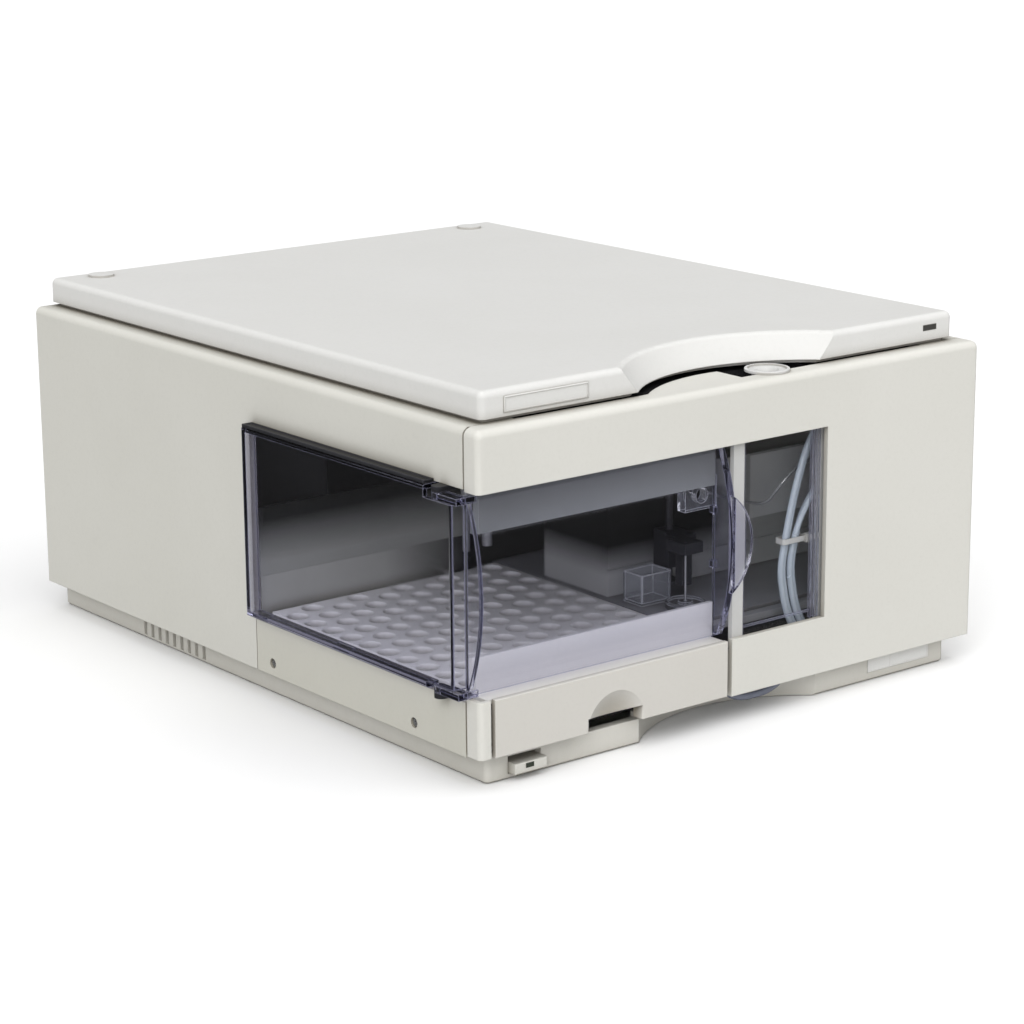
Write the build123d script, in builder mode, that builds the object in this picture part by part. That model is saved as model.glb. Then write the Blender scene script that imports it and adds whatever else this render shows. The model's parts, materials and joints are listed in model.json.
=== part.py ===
from build123d import *
import math
import os

os.makedirs("parts", exist_ok=True)


# Helpers: a block between two corners, a round bar, a bent tube, and the writer of one piece
def block(x0, x1, y0, y1, z0, z1, mode=Mode.ADD):
    with Locations(((x0 + x1) / 2, (y0 + y1) / 2, (z0 + z1) / 2)):
        Box(abs(x1 - x0), abs(y1 - y0), abs(z1 - z0), mode=mode)


def bar(start, direction, radius, length, mode=Mode.ADD):
    with Locations(Plane(origin=start, z_dir=direction)):
        Cylinder(radius, length, align=(Align.CENTER, Align.CENTER, Align.MIN), mode=mode)


def bend_radii(points):
    runs = [Vector(*b) - Vector(*a) for a, b in zip(points, points[1:])]
    radii = []
    for before, after in zip(runs, runs[1:]):
        half_turn = math.radians(before.get_angle(after)) / 2
        radii.append(bend_share * min(before.length, after.length) / math.tan(half_turn))
    return radii


def tube(points, radius):
    radii = bend_radii(points)
    print("tube bend radii", [round(r, 1) for r in radii])
    with BuildPart() as body:
        with BuildLine() as route:
            FilletPolyline(*points, radius=radii)
        with BuildSketch(Plane(origin=route.line @ 0, z_dir=route.line % 0)):
            Circle(radius)
        sweep()
    expected = math.pi * radius**2 * sum(edge.length for edge in route.edges())
    print("tube volume over section times length", round(body.part.volume / expected, 4))
    return body.part


def save(piece, name):
    piece.part.label = name
    export_step(piece.part, "parts/" + name + ".step")


bend_share = 0.45

# Housing: the sizes that drive the rest. X to the right, front towards -Y, Z up from the table
width = 345.0
cover_depth = 424.8
plinth_height = 16.0
cover_height = 166.6
groove_height = 2.2
top_cover_height = 14.0
boss_height = 1.2
wall = 3.0
sheet = 1.5
edge_round = 4.0
overrun = 5.0
loose_gap = 0.3
seat_gap = 0.5
run_gap = 0.05

side = width / 2
front = -cover_depth / 2
back = cover_depth / 2
cover_top = plinth_height + cover_height
lid_bottom = cover_top + groove_height
lid_top = lid_bottom + top_cover_height

# Front cover depth, and the seam between it and the side covers
front_cover_depth = 10.65
seam_gap = 1.2
front_cover_back = front + front_cover_depth
side_front = front_cover_back + seam_gap
front_inner = front + wall
panel_front_y = back - sheet
side_inner = side - wall

# Base tray: a low plinth, set back all round, with a curved notch at the front
plinth_inset = 10.7
plinth_setback = 9.4
base_wall = 5.0
base_floor = 2.7
base_corner = 3.0
base_edge = 1.0
arc_radius = 91.2
arc_half_chord = 62.6
slot_length = 34.4
slot_depth = 2.6
vent_count = 9
vent_pitch = 7.86
vent_width = 3.3
vent_first_y_gap = 155.2
vent_first_y = back - vent_first_y_gap
vent_bottom = 1.9
vent_height = 8.5
foot_radius = 11.0
foot_thickness = 1.2
foot_front_y_setback = 62.4
foot_front_y = front + foot_front_y_setback
foot_back_y_gap = 32.4
foot_back_y = back - foot_back_y_gap

base_side = side - plinth_inset
base_front = front + plinth_setback
arc_depth = math.sqrt(arc_radius**2 - arc_half_chord**2)
base_arc_y = base_front - arc_depth
foot_x_inset = 29.8
foot_x = base_side - foot_x_inset

# Power button in the plinth's front wall
button_left_inset = 13.5
button_left = button_left_inset - base_side
button_recess_width = 21.0
button_recess_height = 9.2
button_height = 5.7
button_lift = 0.7
button_proud = 5.9
button_length = 14.0
button_travel = 3.0
button_right = button_left + button_recess_width
button_face = base_front - button_proud
button_bottom = base_floor + button_lift
button_back = button_face + button_length

with BuildPart() as base_hollow:
    block(base_wall - base_side, base_side - base_wall, base_front + base_wall, back - base_wall,
          base_floor, plinth_height + overrun)
    bar((0, base_arc_y, 0), (0, 0, 1), arc_radius + base_wall, plinth_height + 2 * overrun,
        mode=Mode.SUBTRACT)

with BuildPart() as base_tray:
    block(-base_side, base_side, base_front, back, 0, plinth_height)
    fillet(base_tray.edges().filter_by(Axis.Z), radius=base_corner)
    chamfer(base_tray.faces().sort_by(Axis.Z)[0].edges(), length=base_edge)
    bar((0, base_arc_y, -overrun), (0, 0, 1), arc_radius, plinth_height + 2 * overrun, mode=Mode.SUBTRACT)
    add(base_hollow.part, mode=Mode.SUBTRACT)
    block(-arc_half_chord - slot_length, -arc_half_chord, base_front - overrun,
          base_front + base_wall + overrun,
          plinth_height - slot_depth, plinth_height + overrun, mode=Mode.SUBTRACT)
    block(button_left, button_right, base_front - overrun, base_front + base_wall + overrun,
          base_floor, base_floor + button_recess_height, mode=Mode.SUBTRACT)
    for row in range(vent_count):
        vent_y = vent_first_y + row * vent_pitch
        block(-base_side - overrun, base_wall - base_side, vent_y - vent_width / 2, vent_y + vent_width / 2,
              vent_bottom, vent_bottom + vent_height, mode=Mode.SUBTRACT)
    for foot_y in (foot_front_y, foot_back_y):
        for foot_side in (-foot_x, foot_x):
            bar((foot_side, foot_y, -overrun), (0, 0, 1), foot_radius, foot_thickness + overrun,
                mode=Mode.SUBTRACT)
save(base_tray, "base_tray")

with BuildPart() as rubber_feet:
    for foot_y in (foot_front_y, foot_back_y):
        for foot_side in (-foot_x, foot_x):
            bar((foot_side, foot_y, 0), (0, 0, 1), foot_radius - loose_gap, foot_thickness)
save(rubber_feet, "rubber_feet")

# Power button, the light in its face, and the switch behind it
light_left_inset = 6.9
light_left = button_left + light_left_inset
light_width = 5.0
light_height = 2.4
light_lift = 2.6
light_depth = 2.0
light_proud = 0.2
switch_width = 16.0
switch_height = 9.0
switch_depth = 14.0
light_bottom = button_bottom + light_lift

with BuildPart() as power_button:
    block(button_left + loose_gap, button_right - loose_gap, button_face, button_back,
          button_bottom, button_bottom + button_height)
    fillet(power_button.faces().sort_by(Axis.Y)[0].edges(), radius=button_lift)
    block(light_left, light_left + light_width, button_face - overrun, button_face + light_depth,
          light_bottom, light_bottom + light_height, mode=Mode.SUBTRACT)
save(power_button, "power_button")

with BuildPart() as button_light:
    block(light_left, light_left + light_width, button_face - light_proud, button_face + light_depth,
          light_bottom, light_bottom + light_height)
save(button_light, "button_light")

button_middle = (button_left + button_right) / 2
switch_front = button_back + button_travel + seat_gap
with BuildPart() as power_switch:
    block(button_middle - switch_width / 2, button_middle + switch_width / 2, switch_front,
          switch_front + switch_depth, base_floor, base_floor + switch_height)
save(power_switch, "power_switch")

# Chassis deck: a metal sheet on the plinth walls, with a turned-up edge for the side strip's screws
deck_thickness = 2.0
deck_edge = 2.9
deck_front_lap = 2.4
deck_back_gap = 3.4
deck_upstand = 9.0
deck_notch_depth = 10.6
deck_notch_lap = 9.0
deck_upstand_front_setback = 17.4
deck_upstand_front = front + deck_upstand_front_setback
deck_upstand_back_setback = 195.4
deck_upstand_back = front + deck_upstand_back_setback
deck_top = plinth_height + deck_thickness
deck_side = base_side - deck_edge
deck_front = base_front + deck_front_lap
upstand_top = deck_top + deck_upstand

# Side strip under the side window, with two screw holes
strip_top = 44.5
strip_gap = 0.6
window_rear_setback = 198.15
window_rear = front + window_rear_setback
screw_hole_radius = 2.75
screw_z_lift = 4.9
screw_z = deck_top + screw_z_lift
screw_front_y_setback = 54.85
screw_front_y = front + screw_front_y_setback
screw_back_y_setback = 182.75
screw_back_y = front + screw_back_y_setback
screw_head_radius = 2.5
screw_head_height = 2.0
screw_radius = 1.5
screw_sink = 1.0
cover_flange = 13.0
flange_inner = side - cover_flange

with BuildPart() as chassis_deck:
    block(-deck_side, deck_side, deck_front, back - deck_back_gap, plinth_height, deck_top)
    block(-arc_half_chord - slot_length, deck_notch_lap - arc_half_chord, deck_front - overrun,
          deck_front + deck_notch_depth, plinth_height - overrun, deck_top + overrun, mode=Mode.SUBTRACT)
    block(-deck_side, sheet - deck_side, deck_upstand_front, deck_upstand_back, deck_top, upstand_top)
    for screw_y in (screw_front_y, screw_back_y):
        bar((-side, screw_y, screw_z), (1, 0, 0), screw_radius, side, mode=Mode.SUBTRACT)
save(chassis_deck, "chassis_deck")

with BuildPart() as lower_side_strip:
    block(-side, -side_inner, side_front, window_rear - strip_gap, plinth_height, strip_top)
    block(-side, -flange_inner, side_front, window_rear - strip_gap, plinth_height, deck_top)
    for screw_y in (screw_front_y, screw_back_y):
        bar((-side - overrun, screw_y, screw_z), (1, 0, 0), screw_hole_radius, wall + overrun + overrun,
            mode=Mode.SUBTRACT)
save(lower_side_strip, "lower_side_strip")

with BuildPart() as cover_screws:
    for screw_y in (screw_front_y, screw_back_y):
        bar((screw_sink - side, screw_y, screw_z), (1, 0, 0), screw_head_radius, screw_head_height)
        bar((screw_sink - side, screw_y, screw_z), (1, 0, 0), screw_radius, side - deck_side + sheet / 2)
save(cover_screws, "cover_screws")

# Side covers: a wall, a ledge under the top cover and a flange on the plinth
ledge_width = 32.0
ledge_thickness = 2.6
ledge_setback = 0.75
window_top_drop = 30.3
window_top = cover_top - window_top_drop
ledge_bottom = cover_top - ledge_thickness


def side_cover(sign, window_cut):
    with BuildPart() as cover:
        block(sign * side, sign * side_inner, side_front, back, plinth_height, cover_top)
        block(sign * side, sign * (side - ledge_width), side_front, back, ledge_bottom, cover_top)
        block(sign * side, sign * flange_inner, side_front, panel_front_y - loose_gap, plinth_height,
              deck_top)
        block(sign * side_inner, sign * (side - ledge_width - overrun), side_front - overrun,
              side_front + ledge_setback, ledge_bottom, cover_top, mode=Mode.SUBTRACT)
        outer_edges = cover.edges().filter_by(Axis.Y).group_by(Axis.Z)[-1].sort_by(Axis.X)
        fillet(outer_edges[-1] if sign > 0 else outer_edges[0], radius=edge_round)
        if window_cut:
            block(-side - overrun, -flange_inner + overrun, side_front - overrun, window_rear,
                  plinth_height - overrun, window_top, mode=Mode.SUBTRACT)
    return cover


left_side_cover = side_cover(-1, True)
save(left_side_cover, "left_side_cover")
right_side_cover = side_cover(1, False)
save(right_side_cover, "right_side_cover")

# Front cover: upper band, right part down to the plinth, and a corner post on the left
opening_bottom_lift = 2.5
opening_bottom = strip_top + opening_bottom_lift
opening_top_drop = 31.4
opening_top = cover_top - opening_top_drop
opening_right = 59.4
post_width = 6.8
post_gap = 2.7
panel_gap = 2.8
panel_right = -9.6
post_bottom_gap = 0.9
post_top_gap = 0.3
bar_thickness = 2.5
bar_bottom_lift = 6.0
bar_bottom = plinth_height + bar_bottom_lift
bar_top_drop = 4.5
bar_top = strip_top - bar_top_drop
shelf_lap = 1.35
shelf_side_gap = 1.0
shelf_arc_inset = 4.0
shelf_jog_x = 8.5
lid_setback = 0.1
funnel_x = 30.0
funnel_y_setback = 5.4
funnel_y = front_cover_back + funnel_y_setback
funnel_neck_radius = 8.0
panel_left = post_width + post_gap - side
cover_right_edge = panel_right + panel_gap
post_right = post_width - side
shelf_back = front_cover_back + shelf_lap
lid_front = front_cover_back + lid_setback
lid_arc_y = lid_front - arc_depth
bar_back = front_cover_back

with BuildPart() as front_cover:
    block(-side, side, front, front_cover_back, plinth_height, cover_top)
    fillet(front_cover.faces().sort_by(Axis.Y)[0].edges().filter_by(Axis.Z), radius=wall)
    fillet(front_cover.edges().group_by(Axis.Z)[-1].sort_by(Axis.Y)[0], radius=edge_round)
    block(-side_inner, side_inner, front_inner, front_cover_back + overrun,
          plinth_height + wall, ledge_bottom, mode=Mode.SUBTRACT)
    block(-side - overrun, opening_right, front - overrun, front_cover_back + overrun,
          opening_bottom, opening_top, mode=Mode.SUBTRACT)
    block(post_right, cover_right_edge, front - overrun, front_cover_back + overrun,
          plinth_height - overrun, opening_bottom, mode=Mode.SUBTRACT)
    block(-side - overrun, post_right + overrun, front - overrun, front_cover_back + overrun,
          plinth_height - overrun, plinth_height + post_bottom_gap, mode=Mode.SUBTRACT)
    block(-side - overrun, post_right + overrun, front - overrun, front_cover_back + overrun,
          opening_bottom - post_top_gap, opening_bottom, mode=Mode.SUBTRACT)
    block(cover_right_edge, cover_right_edge + wall, front_inner, bar_back, plinth_height, bar_top)
    block(-side_inner, cover_right_edge + wall, bar_back - bar_thickness, bar_back, bar_bottom, bar_top)
    block(-side_inner + shelf_side_gap, side_inner - shelf_side_gap, front_cover_back - overrun, shelf_back,
          ledge_bottom, cover_top)
    with BuildSketch(Plane.XY.offset(ledge_bottom)):
        with BuildLine():
            arc_end = math.sqrt((arc_radius - shelf_arc_inset)**2 - (shelf_back - lid_arc_y)**2)
            jog_y = lid_arc_y + math.sqrt((arc_radius - shelf_arc_inset)**2 - shelf_jog_x**2)
            Line((-arc_end, shelf_back), (shelf_jog_x, shelf_back))
            Line((shelf_jog_x, shelf_back), (shelf_jog_x, jog_y))
            ThreePointArc((shelf_jog_x, jog_y), (0, lid_arc_y + arc_radius - shelf_arc_inset),
                          (-arc_end, shelf_back))
        make_face()
    extrude(amount=ledge_thickness)
    bar((funnel_x, funnel_y, ledge_bottom - overrun), (0, 0, 1), funnel_neck_radius + seat_gap,
        ledge_thickness + 2 * overrun, mode=Mode.SUBTRACT)
save(front_cover, "front_cover")

# Leak funnel: a round white rim on the shelf, a bowl and a neck
funnel_radius = 12.0
funnel_rim = 1.6
funnel_bowl_radius = 10.4
funnel_bowl_depth = 0.9
funnel_neck_depth = 9.0
funnel_bore_radius = 2.5
funnel_throat_radius = 6.5
funnel_throat_depth = 6.0
funnel_top = cover_top + funnel_rim

with BuildPart() as leak_funnel:
    bar((funnel_x, funnel_y, cover_top), (0, 0, 1), funnel_radius, funnel_rim)
    fillet(leak_funnel.edges().group_by(Axis.Z)[-1], radius=seat_gap)
    bar((funnel_x, funnel_y, cover_top - funnel_neck_depth), (0, 0, 1), funnel_neck_radius,
        funnel_neck_depth)
    bar((funnel_x, funnel_y, funnel_top - funnel_bowl_depth), (0, 0, 1), funnel_bowl_radius,
        funnel_bowl_depth + overrun, mode=Mode.SUBTRACT)
    with Locations((funnel_x, funnel_y, funnel_top - funnel_bowl_depth)):
        Cone(funnel_bore_radius, funnel_throat_radius, funnel_throat_depth,
             align=(Align.CENTER, Align.CENTER, Align.MAX), mode=Mode.SUBTRACT)
    bar((funnel_x, funnel_y, cover_top - funnel_neck_depth - overrun), (0, 0, 1), funnel_bore_radius,
        funnel_neck_depth + overrun, mode=Mode.SUBTRACT)
save(leak_funnel, "leak_funnel")

# Lower front panel with a concave round finger recess over a dark slot at its lower edge
panel_bottom_gap = 0.5
panel_top_gap = 0.3
recess_x_shift = 0.9
recess_x = (panel_left + panel_right) / 2 + recess_x_shift
recess_radius = 18.8
recess_height_lift = 19.6
recess_height = plinth_height + recess_height_lift
recess_depth = 5.6
recess_back = 2.0
finger_slot_height = 7.7
finger_slot_left_inset = 0.3
finger_slot_right_inset = 1.4
finger_slot_drop_share = 0.36
snap_size = 8.0
snap_inset = 14.0
panel_bottom = plinth_height + panel_bottom_gap
panel_top = opening_bottom - panel_top_gap
recess_z = recess_height - recess_radius
scoop_radius = (recess_radius**2 + recess_depth**2) / (2 * recess_depth)
snap_z = (bar_bottom + bar_top) / 2
finger_slot_left = recess_x - recess_radius + finger_slot_left_inset
finger_slot_right = recess_x + recess_radius - finger_slot_right_inset


def finger_slot_top(y):
    return panel_bottom + finger_slot_height - (y - front) * finger_slot_drop_share


with BuildPart() as finger_slot:
    with BuildSketch(Plane.YZ.offset(finger_slot_left)):
        with BuildLine():
            Polyline((front - overrun, panel_bottom - overrun),
                     (front - overrun, finger_slot_top(front - overrun)),
                     (bar_back, finger_slot_top(bar_back)),
                     (bar_back, panel_bottom - overrun), close=True)
        make_face()
    extrude(amount=finger_slot_right - finger_slot_left)

with BuildPart() as lower_front_panel:
    block(panel_left, panel_right, front, front_inner, panel_bottom, panel_top)
    fillet(lower_front_panel.faces().sort_by(Axis.Y)[0].edges(), radius=seat_gap)
    bar((recess_x, front_inner - run_gap, recess_z), (0, 1, 0), recess_radius + wall,
        recess_depth + recess_back - wall + run_gap)
    block(recess_x - recess_radius - wall, recess_x + recess_radius + wall, front, bar_back,
          panel_bottom - 2 * recess_radius,
          panel_bottom, mode=Mode.SUBTRACT)
    with Locations((recess_x, front - scoop_radius + recess_depth, recess_z)):
        Sphere(scoop_radius, mode=Mode.SUBTRACT)
    add(finger_slot.part, mode=Mode.SUBTRACT)
    for snap_x in (panel_left + snap_inset, panel_right - snap_inset):
        block(snap_x - snap_size / 2, snap_x + snap_size / 2, front_inner, bar_back - bar_thickness,
              snap_z - snap_size / 2, snap_z + snap_size / 2)
save(lower_front_panel, "lower_front_panel")

# Top cover: a shell with a curved, sloping finger cut-out and two low round bosses
lid_inset = 10.4
lid_side_wall = 6.0
lid_roof = 3.0
lid_round = 3.5
lid_lip_inset = 4.0
lid_lip = 3.0
arc_slope = 8.5
boss_radius = 7.5
boss_back_gap = 14.5
lamp_width = 10.0
lamp_height = 3.0
lamp_lift = 5.5
lamp_depth = 2.0
lamp_proud = 0.2
lid_side = side - lid_inset
lamp_bottom = lid_bottom + lamp_lift
lid_lip_side = lid_side - lid_lip_inset
lid_lip_front = lid_front + lid_lip_inset
lid_lip_back = back - lid_lip_inset
boss_x_inset = 26.1
boss_x = lid_side - boss_x_inset
lamp_left_inset = 22.5
lamp_left = lid_side - lamp_left_inset


def finger_slope(extra):
    with Locations((0, lid_arc_y, lid_bottom)):
        Cone(arc_radius + extra, arc_radius + extra + arc_slope, top_cover_height,
             align=(Align.CENTER, Align.CENTER, Align.MIN), mode=Mode.SUBTRACT)


def finger_arc(extra):
    bar((0, lid_arc_y, cover_top), (0, 0, 1), arc_radius + extra, groove_height, mode=Mode.SUBTRACT)


with BuildPart() as lid_hollow:
    block(lid_side_wall - lid_side, lid_side - lid_side_wall, lid_front + lid_side_wall,
          back - lid_side_wall,
          lid_bottom, lid_top - lid_roof)
    finger_slope(lid_side_wall)

with BuildPart() as lip_hollow:
    block(lid_lip - lid_lip_side, lid_lip_side - lid_lip, lid_lip_front + lid_lip, lid_lip_back - lid_lip,
          cover_top, lid_bottom)
    finger_arc(lid_lip_inset + lid_lip)

with BuildPart() as lid_lip_ring:
    block(-lid_lip_side, lid_lip_side, lid_lip_front, lid_lip_back, cover_top, lid_bottom)
    finger_arc(lid_lip_inset)
    add(lip_hollow.part, mode=Mode.SUBTRACT)

with BuildPart() as top_cover:
    block(-lid_side, lid_side, lid_front, back, lid_bottom, lid_top)
    fillet(top_cover.edges().filter_by(Axis.Z), radius=lid_round)
    finger_slope(0)
    fillet(top_cover.faces().sort_by(Axis.Z)[-1].edges(), radius=lid_round)
    add(lid_hollow.part, mode=Mode.SUBTRACT)
    add(lid_lip_ring.part)
    for boss_side in (-boss_x, boss_x):
        bar((boss_side, back - boss_back_gap, lid_top), (0, 0, 1), boss_radius, boss_height)
    block(lamp_left, lamp_left + lamp_width, lid_front - overrun, lid_front + lamp_depth,
          lamp_bottom, lamp_bottom + lamp_height, mode=Mode.SUBTRACT)
save(top_cover, "top_cover")

with BuildPart() as status_lamp:
    block(lamp_left, lamp_left + lamp_width, lid_front - lamp_proud, lid_front + lamp_depth,
          lamp_bottom, lamp_bottom + lamp_height)
save(status_lamp, "status_lamp")

# Front door: a clear bulged shell between two end walls, hung on a pin line at the front left corner
door_bottom_gap = 1.0
door_top_gap = 2.2
door_bulge = 1.05
door_edge_setback = 9.9
door_right = -5.2
door_thickness = 2.6
door_wall = 3.0
door_left_rear_setback = 10.9
door_left_rear = front + door_left_rear_setback
door_right_rear_setback = 15.8
door_right_rear = front + door_right_rear_setback
tab_reach = 11.2
tab_half_height = 24.0
tab_thickness = 2.6
catch_height = 4.0
catch_depth = 3.4
catch_width = 2.0
hinge_x_reach = 3.8
hinge_x = -side - hinge_x_reach
hinge_y_setback = 26.4
hinge_y = front + hinge_y_setback
lug_half = 3.5
lug_height = 3.5
lug_gap = 0.3
lug_setback = 0.65
lug_plate_depth = 3.6
lug_plate_reach = 5.0
bracket_height = 2.7
pin_radius = 1.5
door_bottom = opening_bottom + door_bottom_gap
door_top = opening_top - door_top_gap
door_middle = (door_bottom + door_top) / 2
door_edge_y = front + door_edge_setback
door_front_y = front - door_bulge
tab_radius = (tab_half_height**2 + tab_reach**2) / (2 * tab_reach)
catch_upper_z_lift = 16.5
catch_upper_z = door_middle + catch_upper_z_lift
catch_lower_z_drop = 12.5
catch_lower_z = door_middle - catch_lower_z_drop
bracket_low = strip_top
lug_low = bracket_low + bracket_height + lug_gap
lug_high = window_top - bracket_height - lug_gap - lug_height
lug_plate_y = side_front - lug_setback


def door_arc(shift):
    return ((door_edge_y + shift, door_top), (door_front_y + shift, door_middle), (door_edge_y + shift,
            door_bottom))


def door_end(offset, rear):
    with BuildPart() as end:
        with BuildSketch(Plane.YZ.offset(offset)):
            with BuildLine():
                top, middle, bottom = door_arc(0)
                ThreePointArc(top, middle, bottom)
                Line(bottom, (rear, door_bottom))
                Line((rear, door_bottom), (rear, door_top))
                Line((rear, door_top), top)
            make_face()
        extrude(amount=door_wall)
    return end.part


with BuildPart() as door_tab:
    bar((door_right + tab_reach - tab_radius, door_front_y, door_middle), (0, 1, 0), tab_radius,
        tab_thickness)
    block(door_right - 2 * tab_radius, door_right - door_wall, door_front_y - overrun,
          door_front_y + tab_thickness + overrun,
          door_bottom, door_top, mode=Mode.SUBTRACT)

with BuildPart() as front_door:
    with BuildSketch(Plane.YZ.offset(-side)):
        with BuildLine():
            outer_top, outer_middle, outer_bottom = door_arc(0)
            inner_top, inner_middle, inner_bottom = door_arc(door_thickness)
            ThreePointArc(outer_top, outer_middle, outer_bottom)
            Line(outer_bottom, inner_bottom)
            ThreePointArc(inner_bottom, inner_middle, inner_top)
            Line(inner_top, outer_top)
        make_face()
    extrude(amount=side + door_right)
    add(door_end(-side, door_left_rear))
    add(door_end(door_right - door_wall, door_right_rear))
    add(door_tab.part)
    for catch_z in (catch_lower_z, catch_upper_z):
        block(door_right - door_wall - catch_width, door_right - door_wall,
              door_right_rear - catch_depth, door_right_rear,
              catch_z - catch_height / 2, catch_z + catch_height / 2)
    for lug_z in (lug_low, lug_high):
        block(hinge_x - lug_half, -side + lug_plate_reach, lug_plate_y - lug_plate_depth, lug_plate_y,
              lug_z, lug_z + lug_height)
        block(hinge_x - lug_half, hinge_x + lug_half, lug_plate_y - lug_plate_depth, hinge_y, lug_z,
              lug_z + lug_height)
        bar((hinge_x, hinge_y, lug_z), (0, 0, 1), lug_half, lug_height)
        bar((hinge_x, hinge_y, lug_z - overrun), (0, 0, 1), pin_radius + run_gap, lug_height + 2 * overrun,
            mode=Mode.SUBTRACT)
save(front_door, "front_door")

with BuildPart() as hinge_brackets:
    for bracket_z in (bracket_low, window_top - bracket_height):
        block(hinge_x, -side_inner + sheet, hinge_y - lug_half, hinge_y + lug_half, bracket_z,
              bracket_z + bracket_height)
        bar((hinge_x, hinge_y, bracket_z), (0, 0, 1), lug_half, bracket_height)
    bar((hinge_x, hinge_y, bracket_low), (0, 0, 1), pin_radius, bracket_height + lug_gap + lug_height)
    bar((hinge_x, hinge_y, lug_high), (0, 0, 1), pin_radius, lug_height + lug_gap + bracket_height)
save(hinge_brackets, "hinge_brackets")

# Side window: a clear tray-shaped pane that stands proud of the side cover
pane_proud = 7.3
pane_thickness = 2.5
pane_front_setback = 0.55
pane_front = side_front + pane_front_setback
pane_rear_gap = 1.75
pane_top_gap = 0.6
pane_bottom_lift = 3.5
pane_lap = 2.0
notch_length = 22.0
notch_depth_top = 6.3
notch_depth_bottom = 3.3
lower_rail_start = 28.0
lower_rail_long = 66.0
lower_rail_gap = 14.0
lower_rail_short = 62.0
lower_rail_front = pane_front + lower_rail_start
lower_rail_middle = lower_rail_front + lower_rail_long + lower_rail_gap
rail_spans = ((lower_rail_front, lower_rail_front + lower_rail_long), (lower_rail_middle,
              lower_rail_middle + lower_rail_short))
pane_outer = side + pane_proud
pane_rear = window_rear - pane_rear_gap
pane_top = window_top - pane_top_gap
pane_bottom = strip_top + pane_bottom_lift
pane_inner = side - pane_lap

with BuildPart() as side_window:
    block(-pane_outer, -pane_inner, pane_front, pane_rear, pane_bottom, pane_top)
    fillet(side_window.faces().sort_by(Axis.X)[0].edges(), radius=sheet)
    block(pane_thickness - pane_outer, -pane_inner + overrun, pane_front + pane_thickness,
          pane_rear - pane_thickness,
          pane_bottom + pane_thickness, pane_top - pane_thickness, mode=Mode.SUBTRACT)
    block(-pane_outer - overrun, -pane_inner + overrun, pane_front - overrun, pane_front + notch_length,
          pane_top - notch_depth_top, pane_top + overrun, mode=Mode.SUBTRACT)
    block(-pane_outer - overrun, -pane_inner + overrun, pane_front - overrun, pane_front + notch_length,
          pane_bottom - overrun, pane_bottom + notch_depth_bottom, mode=Mode.SUBTRACT)
    for rail_front, rail_rear in rail_spans:
        block(-side, -pane_inner, rail_front, rail_rear, strip_top, pane_bottom + pane_thickness)
save(side_window, "side_window")

# White strip and clear right window, both behind the front cover's opening
strip_left = -4.4
strip_right = 3.0
strip_thickness = 3.0
pane_lap_right = 7.0
frame_lap = 6.0
right_pane_thickness = 2.5
rib_width = 0.8
rib_depth = 1.5
rib_pitch = 2.6
rib_count = 3
rib_first_inset = 7.0
rib_first = opening_right - rib_first_inset
right_rail_z_lift = 3.6
right_rail_z = opening_bottom + right_rail_z_lift
frame_bottom = opening_bottom - frame_lap
frame_top = opening_top + frame_lap

with BuildPart() as window_strip:
    block(strip_left, strip_right, front_inner, front_inner + strip_thickness, frame_bottom, frame_top)
save(window_strip, "window_strip")

with BuildPart() as right_pane:
    block(strip_right + loose_gap, opening_right + pane_lap_right, front_inner,
          front_inner + right_pane_thickness,
          frame_bottom, frame_top)
    for rib in range(rib_count):
        rib_x = rib_first + rib * rib_pitch
        block(rib_x, rib_x + rib_width, front_inner + right_pane_thickness,
              front_inner + right_pane_thickness + rib_depth,
              opening_bottom, opening_top)
    block(strip_right + loose_gap, rib_first, front_inner + right_pane_thickness,
          front_inner + right_pane_thickness + rib_depth, right_rail_z, right_rail_z + rib_width)
save(right_pane, "right_pane")

# Lower foam: the block that fills the plinth's deck, with a pocket for the vial tray
foam_top_drop = 0.5
foam_top = strip_top - foam_top_drop
foam_core_side_inset = 5.0
foam_core_side = base_side - foam_core_side_inset
foam_wide_side_inset = 2.0
foam_wide_side = side_inner - foam_wide_side_inset
foam_core_front_setback = 25.4
foam_core_front = front + foam_core_front_setback
foam_front_setback = 12.9
foam_front = front + foam_front_setback
foam_back_setback = 272.4
foam_back = front + foam_back_setback
foam_left_part_right = -8.6
foam_pocket_floor_lift = 10.0
foam_pocket_floor = deck_top + foam_pocket_floor_lift
foam_step_gap = 0.6
foam_step = upstand_top + foam_step_gap

# Vial tray: staggered wells in ten columns
tray_left_inset = 8.5
tray_left = tray_left_inset - side
tray_right = -13.6
tray_front_setback = 17.2
tray_front = front + tray_front_setback
tray_rear_setback = 193.4
tray_rear = front + tray_rear_setback
tray_top_lift = 4.0
tray_top = foam_top + tray_top_lift
well_radius = 6.0
well_floor = 3.0
well_columns = 10
well_rows = 10
well_pitch_y = 16.6
well_first_x_inset = 6.2
well_first_x = tray_left + well_first_x_inset
well_last_x_inset = 8.3
well_last_x = tray_right - well_last_x_inset
well_pitch_x = (well_last_x - well_first_x) / (well_columns - 1)
well_first_y_gap = 16.3
well_first_y = tray_rear - well_first_y_gap
well_offset_y = 8.3
tray_rim = 1.2

with BuildPart() as lower_foam:
    block(-foam_core_side, foam_core_side, foam_core_front, foam_back, deck_top, foam_top)
    block(-foam_core_side, foam_left_part_right, foam_front, foam_core_front, deck_top, foam_top)
    block(-foam_wide_side, -foam_core_side, foam_front, foam_back, foam_step, foam_top)
    block(tray_left - loose_gap, tray_right + loose_gap, tray_front - loose_gap, tray_rear + loose_gap,
          foam_pocket_floor, foam_top + overrun, mode=Mode.SUBTRACT)
save(lower_foam, "lower_foam")

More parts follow.
